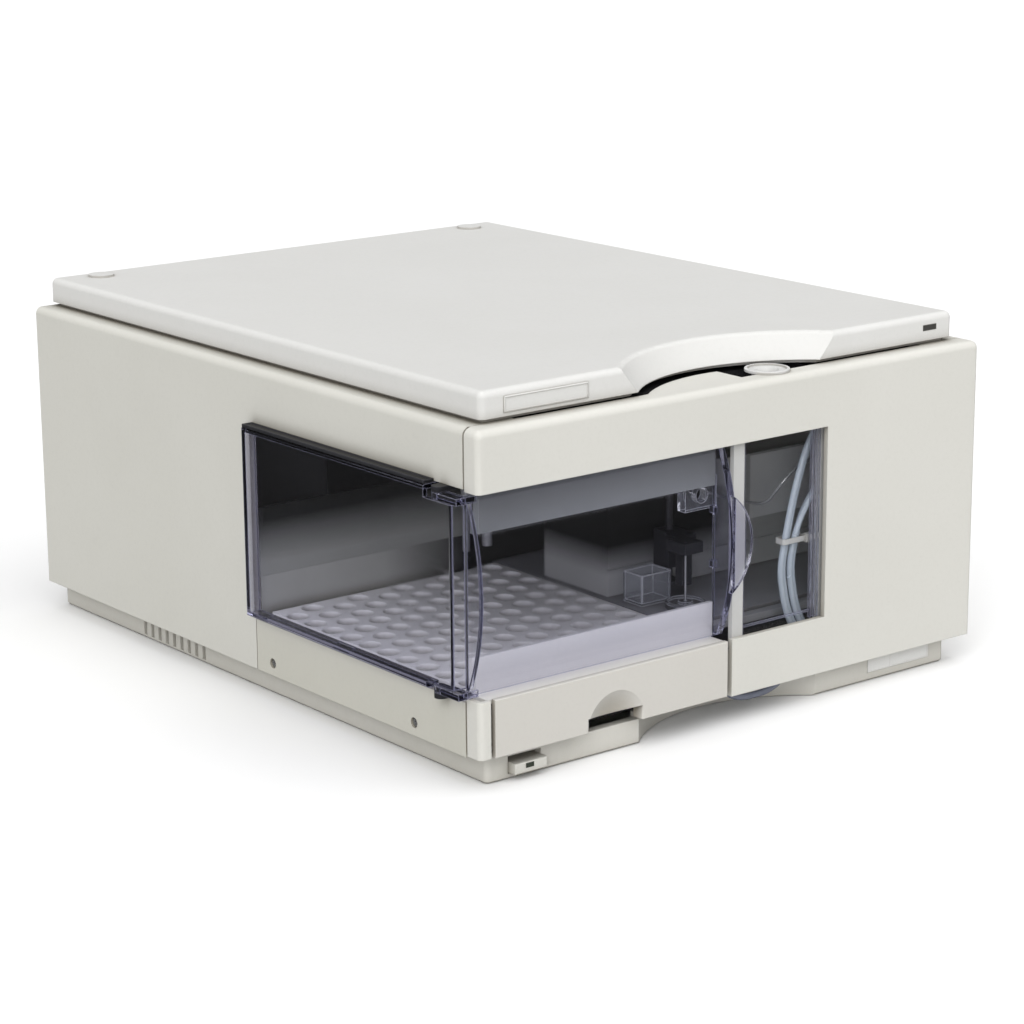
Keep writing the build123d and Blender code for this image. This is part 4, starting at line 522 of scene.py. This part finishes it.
# Metals: each states only what differs from the plain sheet steel.
metalLook = {
    "light": (0.56, 0.56, 0.56), "dark": (0.50, 0.50, 0.50), "toneScale": 14.0,
    "edge": (0.78, 0.78, 0.79), "edgeShare": 0.7, "edgeRadius": 0.0004,
    "stretch": (60.0, 2400.0, 2400.0), "brush": (0.44, 0.44, 0.45), "brushShare": 0.5,
    "grainStrength": 0.2, "grainDepth": 0.00003, "scuffScale": 70.0,
    "brushRange": (0.35, 0.65), "roughRange": (0.3, 0.7), "scuffRough": 0.15,
    "smooth": 0.28, "rough": 0.46, "metallic": 0.45, "specular": 0.5,
    # The painted top shade is off by default.
    "shadeRise": (9.0, 10.0), "shadeSideEnd": 0.078, "shadeSideBlend": 0.01, "topShadeColor": (0.014, 0.014, 0.013),
}
metalLooks = {
    "sheet_steel": {},
    "panel_steel": {"stretch": (80.0, 2200.0, 2200.0)},
    "screw_steel": {"light": (0.30, 0.30, 0.30), "dark": (0.22, 0.22, 0.22), "brush": (0.16, 0.16, 0.16)},
    "needle_steel": {
        "light": (0.74, 0.74, 0.75), "dark": (0.68, 0.68, 0.69), "stretch": (2400.0, 2400.0, 60.0),
        "smooth": 0.12, "rough": 0.26,
    },
    "rod_steel": {
        "light": (0.64, 0.645, 0.66), "dark": (0.58, 0.585, 0.60), "stretch": (2400.0, 900.0, 900.0),
        "smooth": 0.10, "rough": 0.24,
    },
    "frame_metal": {
        "light": (0.060, 0.060, 0.064), "dark": (0.042, 0.042, 0.046), "edge": (0.35, 0.35, 0.36),
        "edgeShare": 0.3, "brush": (0.03, 0.03, 0.03), "smooth": 0.42, "rough": 0.6, "metallic": 0.6,
    },
    "arm_metal": {
        "light": (0.30, 0.30, 0.31), "dark": (0.25, 0.25, 0.26), "brush": (0.20, 0.20, 0.21), "smooth": 0.35,
        "rough": 0.5,
    },
    # The partition and the sampling unit darken towards their tops as painted shadow.
    "partition_metal": {
        "light": (0.330, 0.334, 0.302), "dark": (0.360, 0.365, 0.328), "edge": (0.48, 0.48, 0.44),
        "edgeShare": 0.4, "brush": (0.32, 0.32, 0.29), "smooth": 0.5, "rough": 0.66, "metallic": 0.0,
        "specular": 0.08, "shadeRise": (0.074, 0.098),
    },
    "unit_metal": {
        "light": (0.50, 0.50, 0.48), "dark": (0.44, 0.44, 0.42), "brush": (0.38, 0.38, 0.36), "smooth": 0.5,
        "rough": 0.66, "metallic": 0.0, "specular": 0.08, "shadeRise": (0.059, 0.076),
    },
    "column_metal": {
        "light": (0.085, 0.085, 0.090), "dark": (0.060, 0.060, 0.064), "edge": (0.32, 0.32, 0.33),
        "edgeShare": 0.35, "brush": (0.05, 0.05, 0.05), "smooth": 0.38, "rough": 0.55, "metallic": 0.5,
    },
}

# Clear plastics: each states only what differs from the door's.
clearLook = {
    "light": (0.966, 0.968, 0.985), "dark": (0.955, 0.958, 0.980), "toneScale": 12.0,
    "edge": (0.30, 0.30, 0.50), "edgeShare": 0.8, "edgeRadius": 0.0007,
    "scuffScale": 50.0, "scuffRough": 0.12, "smudgeScale": 26.0, "smudgeDetail": 5.0, "smudgeRoughness": 0.6,
    "smudgeRange": (0.4, 0.75), "waveScale": 22.0, "waveDetail": 1.0, "waveStrength": 0.3, "waveDepth": 0.00035,
    "smooth": 0.02, "rough": 0.07, "ior": 1.42, "clear": 1.0,
    # The edge tint and the pale rim paint the light that runs through the edges.
    "depthColor": (0.30, 0.30, 0.62), "density": 60.0, "rim": (0.50, 0.50, 0.64), "rimHighlightShare": 0.45,
}
clearLooks = {
    "door_plastic": {},
    "window_plastic": {"density": 50.0},
    "pane_plastic": {
        "edgeShare": 0.5, "waveDepth": 0.0001, "light": (0.94, 0.945, 0.94), "dark": (0.92, 0.925, 0.92),
        "density": 30.0,
    },
    # The seat, cup and flap get whitish edges and rims as painted highlights.
    "seat_plastic": {
        "light": (0.88, 0.89, 0.90), "dark": (0.84, 0.85, 0.86), "edge": (0.90, 0.91, 0.93), "clear": 0.95,
        "density": 5.0, "rim": (0.80, 0.81, 0.83), "rimHighlightShare": 0.8,
    },
    "cup_plastic": {
        "light": (0.88, 0.89, 0.90), "dark": (0.84, 0.85, 0.86), "edge": (0.90, 0.91, 0.93), "clear": 0.9,
        "edgeRadius": 0.0014, "density": 5.0, "rim": (0.80, 0.81, 0.83), "rimHighlightShare": 0.8,
    },
    "flap_plastic": {
        "light": (0.88, 0.89, 0.90), "dark": (0.84, 0.85, 0.86), "edge": (0.90, 0.91, 0.93), "clear": 0.95,
        "density": 5.0, "rim": (0.80, 0.81, 0.83), "rimHighlightShare": 0.8,
    },
    "tube_plastic": {
        "light": (0.74, 0.79, 0.84), "dark": (0.66, 0.72, 0.78), "edge": (0.60, 0.65, 0.72), "clear": 0.35,
        "smooth": 0.18, "rough": 0.32, "density": 20.0, "depthColor": (0.55, 0.62, 0.75),
    },
    "drain_plastic": {
        "light": (0.40, 0.43, 0.50), "dark": (0.32, 0.34, 0.42), "edge": (0.22, 0.24, 0.34), "clear": 0.4,
        "smooth": 0.15, "rough": 0.3, "density": 80.0, "depthColor": (0.40, 0.44, 0.78),
    },
}

# Black foam blocks with fine open cells, their pits painted darker as shade.
foamLook = {
    "light": (0.030, 0.030, 0.032), "dark": (0.020, 0.020, 0.022), "pitShade": (0.008, 0.008, 0.009), "toneScale": 20.0,
    "cellScale": 900.0, "cellStrength": 0.6, "cellDepth": 0.0004, "pitShadeRange": (0.1, 0.7), "pitShadeShare": 0.6,
    "smooth": 0.85, "rough": 0.98, "specular": 0.2,
}

materials = {}
for slotName, look in plasticLooks.items():
    materials[slotName] = mouldedPlastic(slotName, {**housingLook, **look})
for slotName, look in metalLooks.items():
    materials[slotName] = metalFinish(slotName, {**metalLook, **look})
for slotName, look in clearLooks.items():
    materials[slotName] = clearPlastic(slotName, {**clearLook, **look})
materials["foam"] = cellularFoam("foam", foamLook)
print("materials made:", len(materials))

# Three nodes get darker finishes than others of their slots, as painted shade: the window strip in the door's
# recess, the power supply in the dark upper bay, and the lower front panel.
ownFinishes = {
    "window_strip": "shaded_white", "power_supply": "frame_metal", "lower_front_panel": "panel_plastic",
}
for part in frame["record"]["subparts"]:
    node = cadNodes[part["node"]]
    finish = materials[ownFinishes.get(part["node"], part["material_slot"])]
    if not node.data.materials:
        node.data.materials.append(finish)
    for place in node.material_slots:
        place.material = finish
print("finishes given to the CAD nodes")

smoothAngle = math.radians(35)  # edges sharper than this are rounded and stay sharp in the shading
nearlySquare = 0.9  # a face and the first step of its rounding
fullySquare = 0.99  # the flat face alone


def clearSelection():
    if bpy.context.mode != "OBJECT":
        bpy.ops.object.mode_set(mode="OBJECT")
    bpy.ops.object.select_all(action="DESELECT")


def keepOnly(piece):
    clearSelection()
    piece.select_set(True)
    bpy.context.view_layer.objects.active = piece


def settlePiece(piece):
    keepOnly(piece)
    bpy.ops.object.transform_apply(location=True, rotation=True, scale=True)


def addBlock(name, low, high):
    clearSelection()
    bpy.ops.mesh.primitive_cube_add(size=1.0, location=[(a + b) / 2 for a, b in zip(low, high)])
    piece = bpy.context.active_object
    piece.name = name
    piece.scale = [b - a for a, b in zip(low, high)]
    settlePiece(piece)
    return piece


def addRound(name, middle, way, radius, length, sides=48):
    clearSelection()
    bpy.ops.mesh.primitive_cylinder_add(vertices=sides, radius=radius, depth=length, location=middle)
    piece = bpy.context.active_object
    piece.name = name
    piece.rotation_euler = Vector(way).to_track_quat("Z", "Y").to_euler()
    settlePiece(piece)
    return piece


def addRing(name, middle, way, radius, wire, sides=56, wireSides=8):
    clearSelection()
    bpy.ops.mesh.primitive_torus_add(
        major_radius=radius, minor_radius=wire, major_segments=sides, minor_segments=wireSides, location=middle
    )
    piece = bpy.context.active_object
    piece.name = name
    piece.rotation_euler = Vector(way).to_track_quat("Z", "Y").to_euler()
    settlePiece(piece)
    return piece


def editFaces(piece, test):
    keepOnly(piece)
    for group in (piece.data.vertices, piece.data.edges):
        for item in group:
            item.select = False
    for face in piece.data.polygons:
        face.select = test(face.center, face.normal)
    bpy.context.tool_settings.mesh_select_mode = (False, False, True)
    bpy.ops.object.mode_set(mode="EDIT")


def leaveEdit():
    bpy.ops.object.mode_set(mode="OBJECT")


def sinkFaces(piece, test, border, depth, wallShare=0.08):
    editFaces(piece, test)
    bpy.ops.mesh.inset(thickness=border, depth=0.0)
    bpy.ops.mesh.inset(thickness=border * wallShare, depth=-depth)
    leaveEdit()


def hollowRear(piece, rim, depth):
    editFaces(piece, lambda middle, normal: normal.y > fullySquare)
    bpy.ops.mesh.inset(thickness=rim, depth=0.0)
    bpy.ops.mesh.extrude_region_move(TRANSFORM_OT_translate={"value": (0, -depth, 0)})
    leaveEdit()


def cutAcross(piece, place, way):
    editFaces(piece, lambda middle, normal: True)
    bpy.ops.mesh.bisect(plane_co=place, plane_no=way)
    leaveEdit()


def roundEdges(piece, width, steps=2):
    keepOnly(piece)
    bevel = piece.modifiers.new("bevel", "BEVEL")
    bevel.width = width
    bevel.segments = steps
    bevel.limit_method = "ANGLE"
    bevel.angle_limit = smoothAngle
    bpy.ops.object.modifier_apply(modifier=bevel.name)


def cutOut(piece, cutter):
    keepOnly(piece)
    difference = piece.modifiers.new("difference", "BOOLEAN")
    difference.operation = "DIFFERENCE"
    difference.solver = "EXACT"
    difference.object = cutter
    bpy.ops.object.modifier_apply(modifier=difference.name)
    bpy.data.objects.remove(cutter, do_unlink=True)


def joinPieces(name, pieces):
    clearSelection()
    for piece in pieces:
        piece.select_set(True)
    bpy.context.view_layer.objects.active = pieces[0]
    bpy.ops.object.join()
    pieces[0].name = name
    return pieces[0]


def copyPiece(piece, place, way):
    keepOnly(piece)
    bpy.ops.object.duplicate()
    copied = bpy.context.active_object
    copied.location = place
    copied.rotation_euler = Vector(way).to_track_quat("Z", "Y").to_euler()
    settlePiece(copied)
    return copied


def finishPiece(piece, slotName, body="housing", finish=None):
    keepOnly(piece)
    bpy.ops.object.shade_smooth_by_angle(angle=smoothAngle)
    piece.data.materials.clear()
    piece.data.materials.append(materials[finish or slotName])
    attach(piece, body)


# A bare name plate on the top cover's front face.
namePlate = {
    "low": (-0.1480, -0.20215, 0.1868), "high": (-0.0950, -0.20160, 0.1950), "border": 0.0007, "sunk": 0.00012,
    "round": 0.0002,
}
plate = addBlock("namePlate", namePlate["low"], namePlate["high"])
roundEdges(plate, namePlate["round"])
sinkFaces(plate, lambda middle, normal: normal.y < -nearlySquare, namePlate["border"], namePlate["sunk"])
finishPiece(plate, "top_plastic")

# A bare serial plate with two fields on the plinth's right front.
serialPlate = {
    "low": (0.1020, -0.20335, 0.0047), "high": (0.1490, -0.20295, 0.0137), "split": 0.1200,
    "border": 0.0007, "sunk": 0.00010,
}
plate = addBlock("serialPlate", serialPlate["low"], serialPlate["high"])
cutAcross(plate, (serialPlate["split"], 0.0, 0.0), (1.0, 0.0, 0.0))
for fieldSide in (-1, 1):
    sinkFaces(
        plate, lambda middle, normal: normal.y < -nearlySquare and (middle.x - serialPlate["split"]) * fieldSide > 0,
        serialPlate["border"], serialPlate["sunk"],
    )
finishPiece(plate, "label_paper")

# A black seal along the side window's top, with a rounded back and a groove.
windowSeal = {
    "low": (-0.1792, -0.1775, 0.1517), "high": (-0.1726, -0.0165, 0.1536), "groove": 0.0011, "depth": 0.0006,
    "round": 0.0007, "roundSteps": 3,
}
seal = addBlock("windowSeal", windowSeal["low"], windowSeal["high"])
sinkFaces(seal, lambda middle, normal: normal.z > nearlySquare, windowSeal["groove"], windowSeal["depth"])
roundEdges(seal, windowSeal["round"], windowSeal["roundSteps"])
finishPiece(seal, "hinge_plastic")

# A pale post behind the right window's right edge, with a long groove.
bayPost = {
    "low": (0.0590, -0.20680, 0.0445), "high": (0.0634, -0.20240, 0.1560), "groove": 0.0008, "depth": 0.0006,
    "round": 0.0003,
}
post = addBlock("bayPost", bayPost["low"], bayPost["high"])
sinkFaces(post, lambda middle, normal: normal.y > nearlySquare, bayPost["groove"], bayPost["depth"])
roundEdges(post, bayPost["round"])
finishPiece(post, "wall_plastic", finish="post_plastic")

# One screw with a crossed recess, made once at the origin and copied.
screwForm = {
    "head": 0.0025, "height": 0.0016, "headSides": 40, "round": 0.0006, "rise": 0.0003,
    "shaft": 0.0015, "shaftLength": 0.0125, "shaftSides": 24, "shaftLap": 0.0001,
    "crossLength": 0.0030, "crossWidth": 0.0007, "crossDepth": 0.0009, "crossRound": 0.00012,
}
screw = addRound(
    "screw", (0, 0, -screwForm["height"] / 2), (0, 0, 1),
    screwForm["head"], screwForm["height"], screwForm["headSides"],
)
editFaces(screw, lambda middle, normal: normal.z > nearlySquare)
bpy.ops.mesh.inset(thickness=screwForm["round"], depth=0.0)
bpy.ops.transform.translate(value=(0, 0, screwForm["rise"]))
leaveEdit()
crossArm = (screwForm["crossLength"], screwForm["crossWidth"])
for crossX, crossY in (crossArm, crossArm[::-1]):
    cutOut(screw, addBlock(
        "crossCut", (-crossX / 2, -crossY / 2, screwForm["rise"] - screwForm["crossDepth"]),
        (crossX / 2, crossY / 2, screwForm["height"]),
    ))
roundEdges(screw, screwForm["crossRound"], 1)
shaft = addRound(
    "shaft", (0, 0, screwForm["shaftLap"] - screwForm["height"] - screwForm["shaftLength"] / 2), (0, 0, 1),
    screwForm["shaft"], screwForm["shaftLength"], screwForm["shaftSides"],
)
screw = joinPieces("screw", [screw, shaft])

# Two of them in the lower side strip stand for the CAD's plain ones.
sideScrews = {"x": -0.1713, "z": 0.0229, "rows": (-0.15755, -0.02965)}
stripScrews = joinPieces("stripScrews", [
    copyPiece(screw, (sideScrews["x"], y, sideScrews["z"]), (-1, 0, 0)) for y in sideScrews["rows"]
])
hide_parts("cover_screws")
finishPiece(stripScrews, "screw_steel")

# Screws in the rear panel: along its edges and at the fan's corners.
rearScrews = {
    "y": 0.2137,
    "places": (
        (-0.158, 0.026), (-0.050, 0.024), (0.050, 0.024), (0.158, 0.026), (-0.158, 0.110), (0.158, 0.100),
        (-0.128, 0.172), (0.000, 0.172), (0.128, 0.172),
    ),
}
panelScrews = joinPieces("panelScrews", [
    copyPiece(screw, (x, rearScrews["y"], z), (0, 1, 0)) for x, z in rearScrews["places"]
])
finishPiece(panelScrews, "rod_steel")

# Wire guard over the fan: rings welded to two bent legs that end under the fan's screws.
fanGuard = {
    "x": -0.095, "z": 0.120, "ringY": 0.21475, "legY": 0.21335, "wire": 0.00075,
    "rings": (0.0085, 0.0165, 0.0245, 0.0325), "screwReach": 0.0357, "legSides": 10,
    "eye": 0.0028, "eyeSides": 28, "screwY": 0.21505,
}
guardPieces = [
    addRing("ring", (fanGuard["x"], fanGuard["ringY"], fanGuard["z"]), (0, 1, 0), radius, fanGuard["wire"])
    for radius in fanGuard["rings"]
]
reach = fanGuard["screwReach"]
for legRise in (1, -1):
    guardPieces.append(addRound(
        "leg", (fanGuard["x"], fanGuard["legY"], fanGuard["z"]), (1, 0, legRise),
        fanGuard["wire"], 2 * math.hypot(reach, reach), fanGuard["legSides"],
    ))
for cornerX, cornerZ in ((-1, -1), (-1, 1), (1, -1), (1, 1)):
    eyeX = fanGuard["x"] + cornerX * reach
    eyeZ = fanGuard["z"] + cornerZ * reach
    guardPieces.append(addRing(
        "eye", (eyeX, fanGuard["legY"], eyeZ), (0, 1, 0), fanGuard["eye"], fanGuard["wire"], fanGuard["eyeSides"]
    ))
    guardPieces.append(copyPiece(screw, (eyeX, fanGuard["screwY"], eyeZ), (0, 1, 0)))
finishPiece(joinPieces("fanGuard", guardPieces), "rod_steel")
bpy.data.objects.remove(screw, do_unlink=True)
print("plates, seal, post, screws and guard made")

# Rear connectors: boxes with a sunk pin field, a metal flange and two jack posts each.
rearSockets = {
    "spans": ((-0.020, 0.040), (0.052, 0.072), (0.084, 0.104), (0.116, 0.146)), "bottom": 0.128, "top": 0.140,
    "inner": 0.200, "outer": 0.22155, "round": 0.0008, "rim": 0.0016, "sunk": 0.0055,
    "flangeY": (0.2124, 0.2134), "flangeLap": 0.0042, "flangeEdge": 0.0012, "flangeRound": 0.0003,
    "jackReach": 0.0022, "jackRadius": 0.0019, "jackLength": 0.0042, "jackSides": 6, "jackRim": 0.0007,
    "jackBore": 0.003, "pinRadius": 0.0005, "pinSides": 8, "pinPitch": 0.0027, "pinLength": 0.0048,
    "pinRise": 0.0018, "pinMargin": 0.006, "pinFoot": 0.0002,
}
socketPieces = []
flangePieces = []
pinPieces = []
socketMiddle = (rearSockets["bottom"] + rearSockets["top"]) / 2
flangeBack, flangeFace = rearSockets["flangeY"]
jackY = flangeFace + rearSockets["jackLength"] / 2
pinY = rearSockets["outer"] - rearSockets["sunk"] + rearSockets["pinLength"] / 2 - rearSockets["pinFoot"]
onePin = addRound(
    "pin", (0, 0, 0), (0, 0, 1), rearSockets["pinRadius"], rearSockets["pinLength"], rearSockets["pinSides"]
)
for left, right in rearSockets["spans"]:
    shell = addBlock(
        "shell", (left, rearSockets["inner"], rearSockets["bottom"]),
        (right, rearSockets["outer"], rearSockets["top"]),
    )
    roundEdges(shell, rearSockets["round"])
    hollowRear(shell, rearSockets["rim"], rearSockets["sunk"])
    socketPieces.append(shell)
    flange = addBlock(
        "flange",
        (left - rearSockets["flangeLap"], flangeBack, rearSockets["bottom"] - rearSockets["flangeEdge"]),
        (right + rearSockets["flangeLap"], flangeFace, rearSockets["top"] + rearSockets["flangeEdge"]),
    )
    roundEdges(flange, rearSockets["flangeRound"])
    flangePieces.append(flange)
    for jackX in (left - rearSockets["jackReach"], right + rearSockets["jackReach"]):
        jack = addRound(
            "jack", (jackX, jackY, socketMiddle), (0, 1, 0),
            rearSockets["jackRadius"], rearSockets["jackLength"], rearSockets["jackSides"],
        )
        hollowRear(jack, rearSockets["jackRim"], rearSockets["jackBore"])
        flangePieces.append(jack)
    pinCount = int((right - left - rearSockets["pinMargin"]) / rearSockets["pinPitch"])
    for row, pinZ in enumerate((socketMiddle - rearSockets["pinRise"], socketMiddle + rearSockets["pinRise"])):
        for i in range(pinCount - row):
            pinX = (left + right) / 2 + (i - (pinCount - row - 1) / 2) * rearSockets["pinPitch"]
            pinPieces.append(copyPiece(onePin, (pinX, pinY, pinZ), (0, 1, 0)))
bpy.data.objects.remove(onePin, do_unlink=True)

# The power inlet: a deep box in a cut open flange, with three blades.
powerInlet = {
    "low": (0.098, 0.1884, 0.027), "high": (0.126, 0.2154, 0.049), "round": 0.0006, "rim": 0.0024, "sunk": 0.014,
    "flangeLow": (0.0880, 0.2124, 0.0240), "flangeHigh": (0.1360, 0.2139, 0.0520), "flangeLap": 0.001,
    "flangeRound": 0.0005, "bladeSize": (0.0020, 0.0100, 0.0040), "bladeFoot": 0.0005, "bladeRound": 0.0005,
    "blades": ((0.105, 0.0355), (0.112, 0.0405), (0.119, 0.0355)),
}
inlet = addBlock("inlet", powerInlet["low"], powerInlet["high"])
roundEdges(inlet, powerInlet["round"])
hollowRear(inlet, powerInlet["rim"], powerInlet["sunk"])
socketPieces.append(inlet)
lowX, lowY, lowZ = powerInlet["low"]
highX, highY, highZ = powerInlet["high"]
inletLap = powerInlet["flangeLap"]
inletFlange = addBlock("inletFlange", powerInlet["flangeLow"], powerInlet["flangeHigh"])
cutOut(inletFlange, addBlock(
    "flangeCut", (lowX + inletLap, lowY, lowZ + inletLap), (highX - inletLap, highY, highZ - inletLap)
))
roundEdges(inletFlange, powerInlet["flangeRound"])
socketPieces.append(inletFlange)
sizeX, sizeY, sizeZ = powerInlet["bladeSize"]
bladeBase = highY - powerInlet["sunk"] - powerInlet["bladeFoot"]
for bladeX, bladeZ in powerInlet["blades"]:
    blade = addBlock(
        "blade", (bladeX - sizeX / 2, bladeBase, bladeZ - sizeZ / 2),
        (bladeX + sizeX / 2, bladeBase + sizeY, bladeZ + sizeZ / 2),
    )
    roundEdges(blade, powerInlet["bladeRound"])
    pinPieces.append(blade)
sockets = joinPieces("socketShells", socketPieces)
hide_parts("rear_connectors")
finishPiece(sockets, "connector_plastic")
finishPiece(joinPieces("socketFlanges", flangePieces), "rod_steel")
finishPiece(joinPieces("socketPins", pinPieces), "rod_steel")

# A bare type plate on the rear panel.
typePlate = {"low": (-0.018, 0.2123, 0.052), "high": (0.052, 0.2127, 0.092), "border": 0.0012, "sunk": 0.0001}
plate = addBlock("typePlate", typePlate["low"], typePlate["high"])
sinkFaces(plate, lambda middle, normal: normal.y > nearlySquare, typePlate["border"], typePlate["sunk"])
finishPiece(plate, "label_paper")
print("rear details made")

# A pale floor, large enough to fill every view, and darker in what it throws back.
floorLook = {
    "size": 30.0, "drop": 0.0004, "light": (0.940, 0.940, 0.940), "dark": (0.925, 0.925, 0.927),
    "bounced": (0.55, 0.55, 0.54), "mirrored": (0.10, 0.10, 0.10),
    "noiseScale": 1.3, "noiseDetail": 4.0, "noiseRange": (0.3, 0.7), "smooth": 0.6, "rough": 0.75, "specular": 0.2,
}
bpy.ops.mesh.primitive_plane_add(size=floorLook["size"], location=(0, 0, -floorLook["drop"]))
floor = bpy.context.active_object
floor.name = "floor"
floorMaterial, floorTree, floorPlace = startMaterial("floorPaper")
floorNoise = addNode(floorTree, "ShaderNodeTexNoise", {
    "Vector": floorPlace, "Scale": floorLook["noiseScale"], "Detail": floorLook["noiseDetail"],
})
floorTone = mixColors(floorTree, floorNoise.outputs["Fac"], floorLook["light"], floorLook["dark"])
floorRough = stretchRange(
    floorTree, floorNoise.outputs["Fac"], *floorLook["noiseRange"], floorLook["smooth"], floorLook["rough"]
)
floorShader = addNode(floorTree, "ShaderNodeBsdfPrincipled", {
    "Base Color": floorTone, "Roughness": floorRough, "Specular IOR Level": floorLook["specular"],
})
floorPath = addNode(floorTree, "ShaderNodeLightPath")
floorBounced = addNode(floorTree, "ShaderNodeBsdfDiffuse", {"Color": asColor(floorLook["bounced"])})
floorMirrored = addNode(floorTree, "ShaderNodeBsdfDiffuse", {"Color": asColor(floorLook["mirrored"])})
floorLit = addNode(floorTree, "ShaderNodeMixShader", {
    0: floorPath.outputs["Is Diffuse Ray"], 1: floorShader.outputs["BSDF"], 2: floorBounced.outputs["BSDF"],
})
floorShare = stretchRange(floorTree, floorPath.outputs["Glossy Depth"], 0.0, 1.0, 0.0, 1.0)
floorBoth = addNode(floorTree, "ShaderNodeMixShader", {
    0: floorShare, 1: floorLit.outputs["Shader"], 2: floorMirrored.outputs["BSDF"],
})
closeMaterial(floorTree, floorBoth.outputs["Shader"])
floor.data.materials.append(floorMaterial)

# Soft studio light: a wide even one from above, two lower ones into the windows, and a weak box at the right.
studioLights = {
    "skyLight": {"kind": "SUN", "place": (0.1, -0.9, 3.1), "power": 1.55, "spread": 1.25, "mirrored": True},
    "windowLight": {"kind": "SUN", "place": (-1.4, -1.0, 1.3), "power": 1.25, "spread": 0.6, "mirrored": False},
    "bayLight": {"kind": "SUN", "place": (-1.1, -1.3, 0.42), "power": 0.60, "spread": 0.30, "mirrored": False},
    "frontSoftbox": {"kind": "AREA", "place": (1.5, -2.4, 1.3), "power": 8.0, "spread": 1.6, "mirrored": False},
}
lightAim = Vector((0, 0, 0.1))
for lightName, light in studioLights.items():
    lightData = bpy.data.lights.new(lightName, light["kind"])
    if light["kind"] == "SUN":
        lightData.angle = light["spread"]
    else:
        lightData.size = light["spread"]
    lightData.energy = light["power"]
    lamp = bpy.data.objects.new(lightName, lightData)
    lamp.location = light["place"]
    lamp.visible_glossy = light["mirrored"]
    lamp.rotation_euler = (lightAim - lamp.location).to_track_quat("-Z", "Y").to_euler()
    bpy.context.scene.collection.objects.link(lamp)

# The room is bright as light, and dark where glossy faces mirror it.
roomLook = {"color": (1.0, 1.0, 1.0), "strength": 0.48, "mirrored": 0.12}
world = bpy.data.worlds.new("studioWorld")
world.use_nodes = True
roomTree = world.node_tree
roomPath = addNode(roomTree, "ShaderNodeLightPath")
roomStrength = stretchRange(
    roomTree, roomPath.outputs["Glossy Depth"], 0.0, 1.0, roomLook["strength"], roomLook["mirrored"]
)
roomBackground = roomTree.nodes["Background"]
roomBackground.inputs["Color"].default_value = asColor(roomLook["color"])
roomTree.links.new(roomStrength, roomBackground.inputs["Strength"])
bpy.context.scene.world = world
bpy.context.scene.view_settings.view_transform = "Standard"
print("floor and lights made")
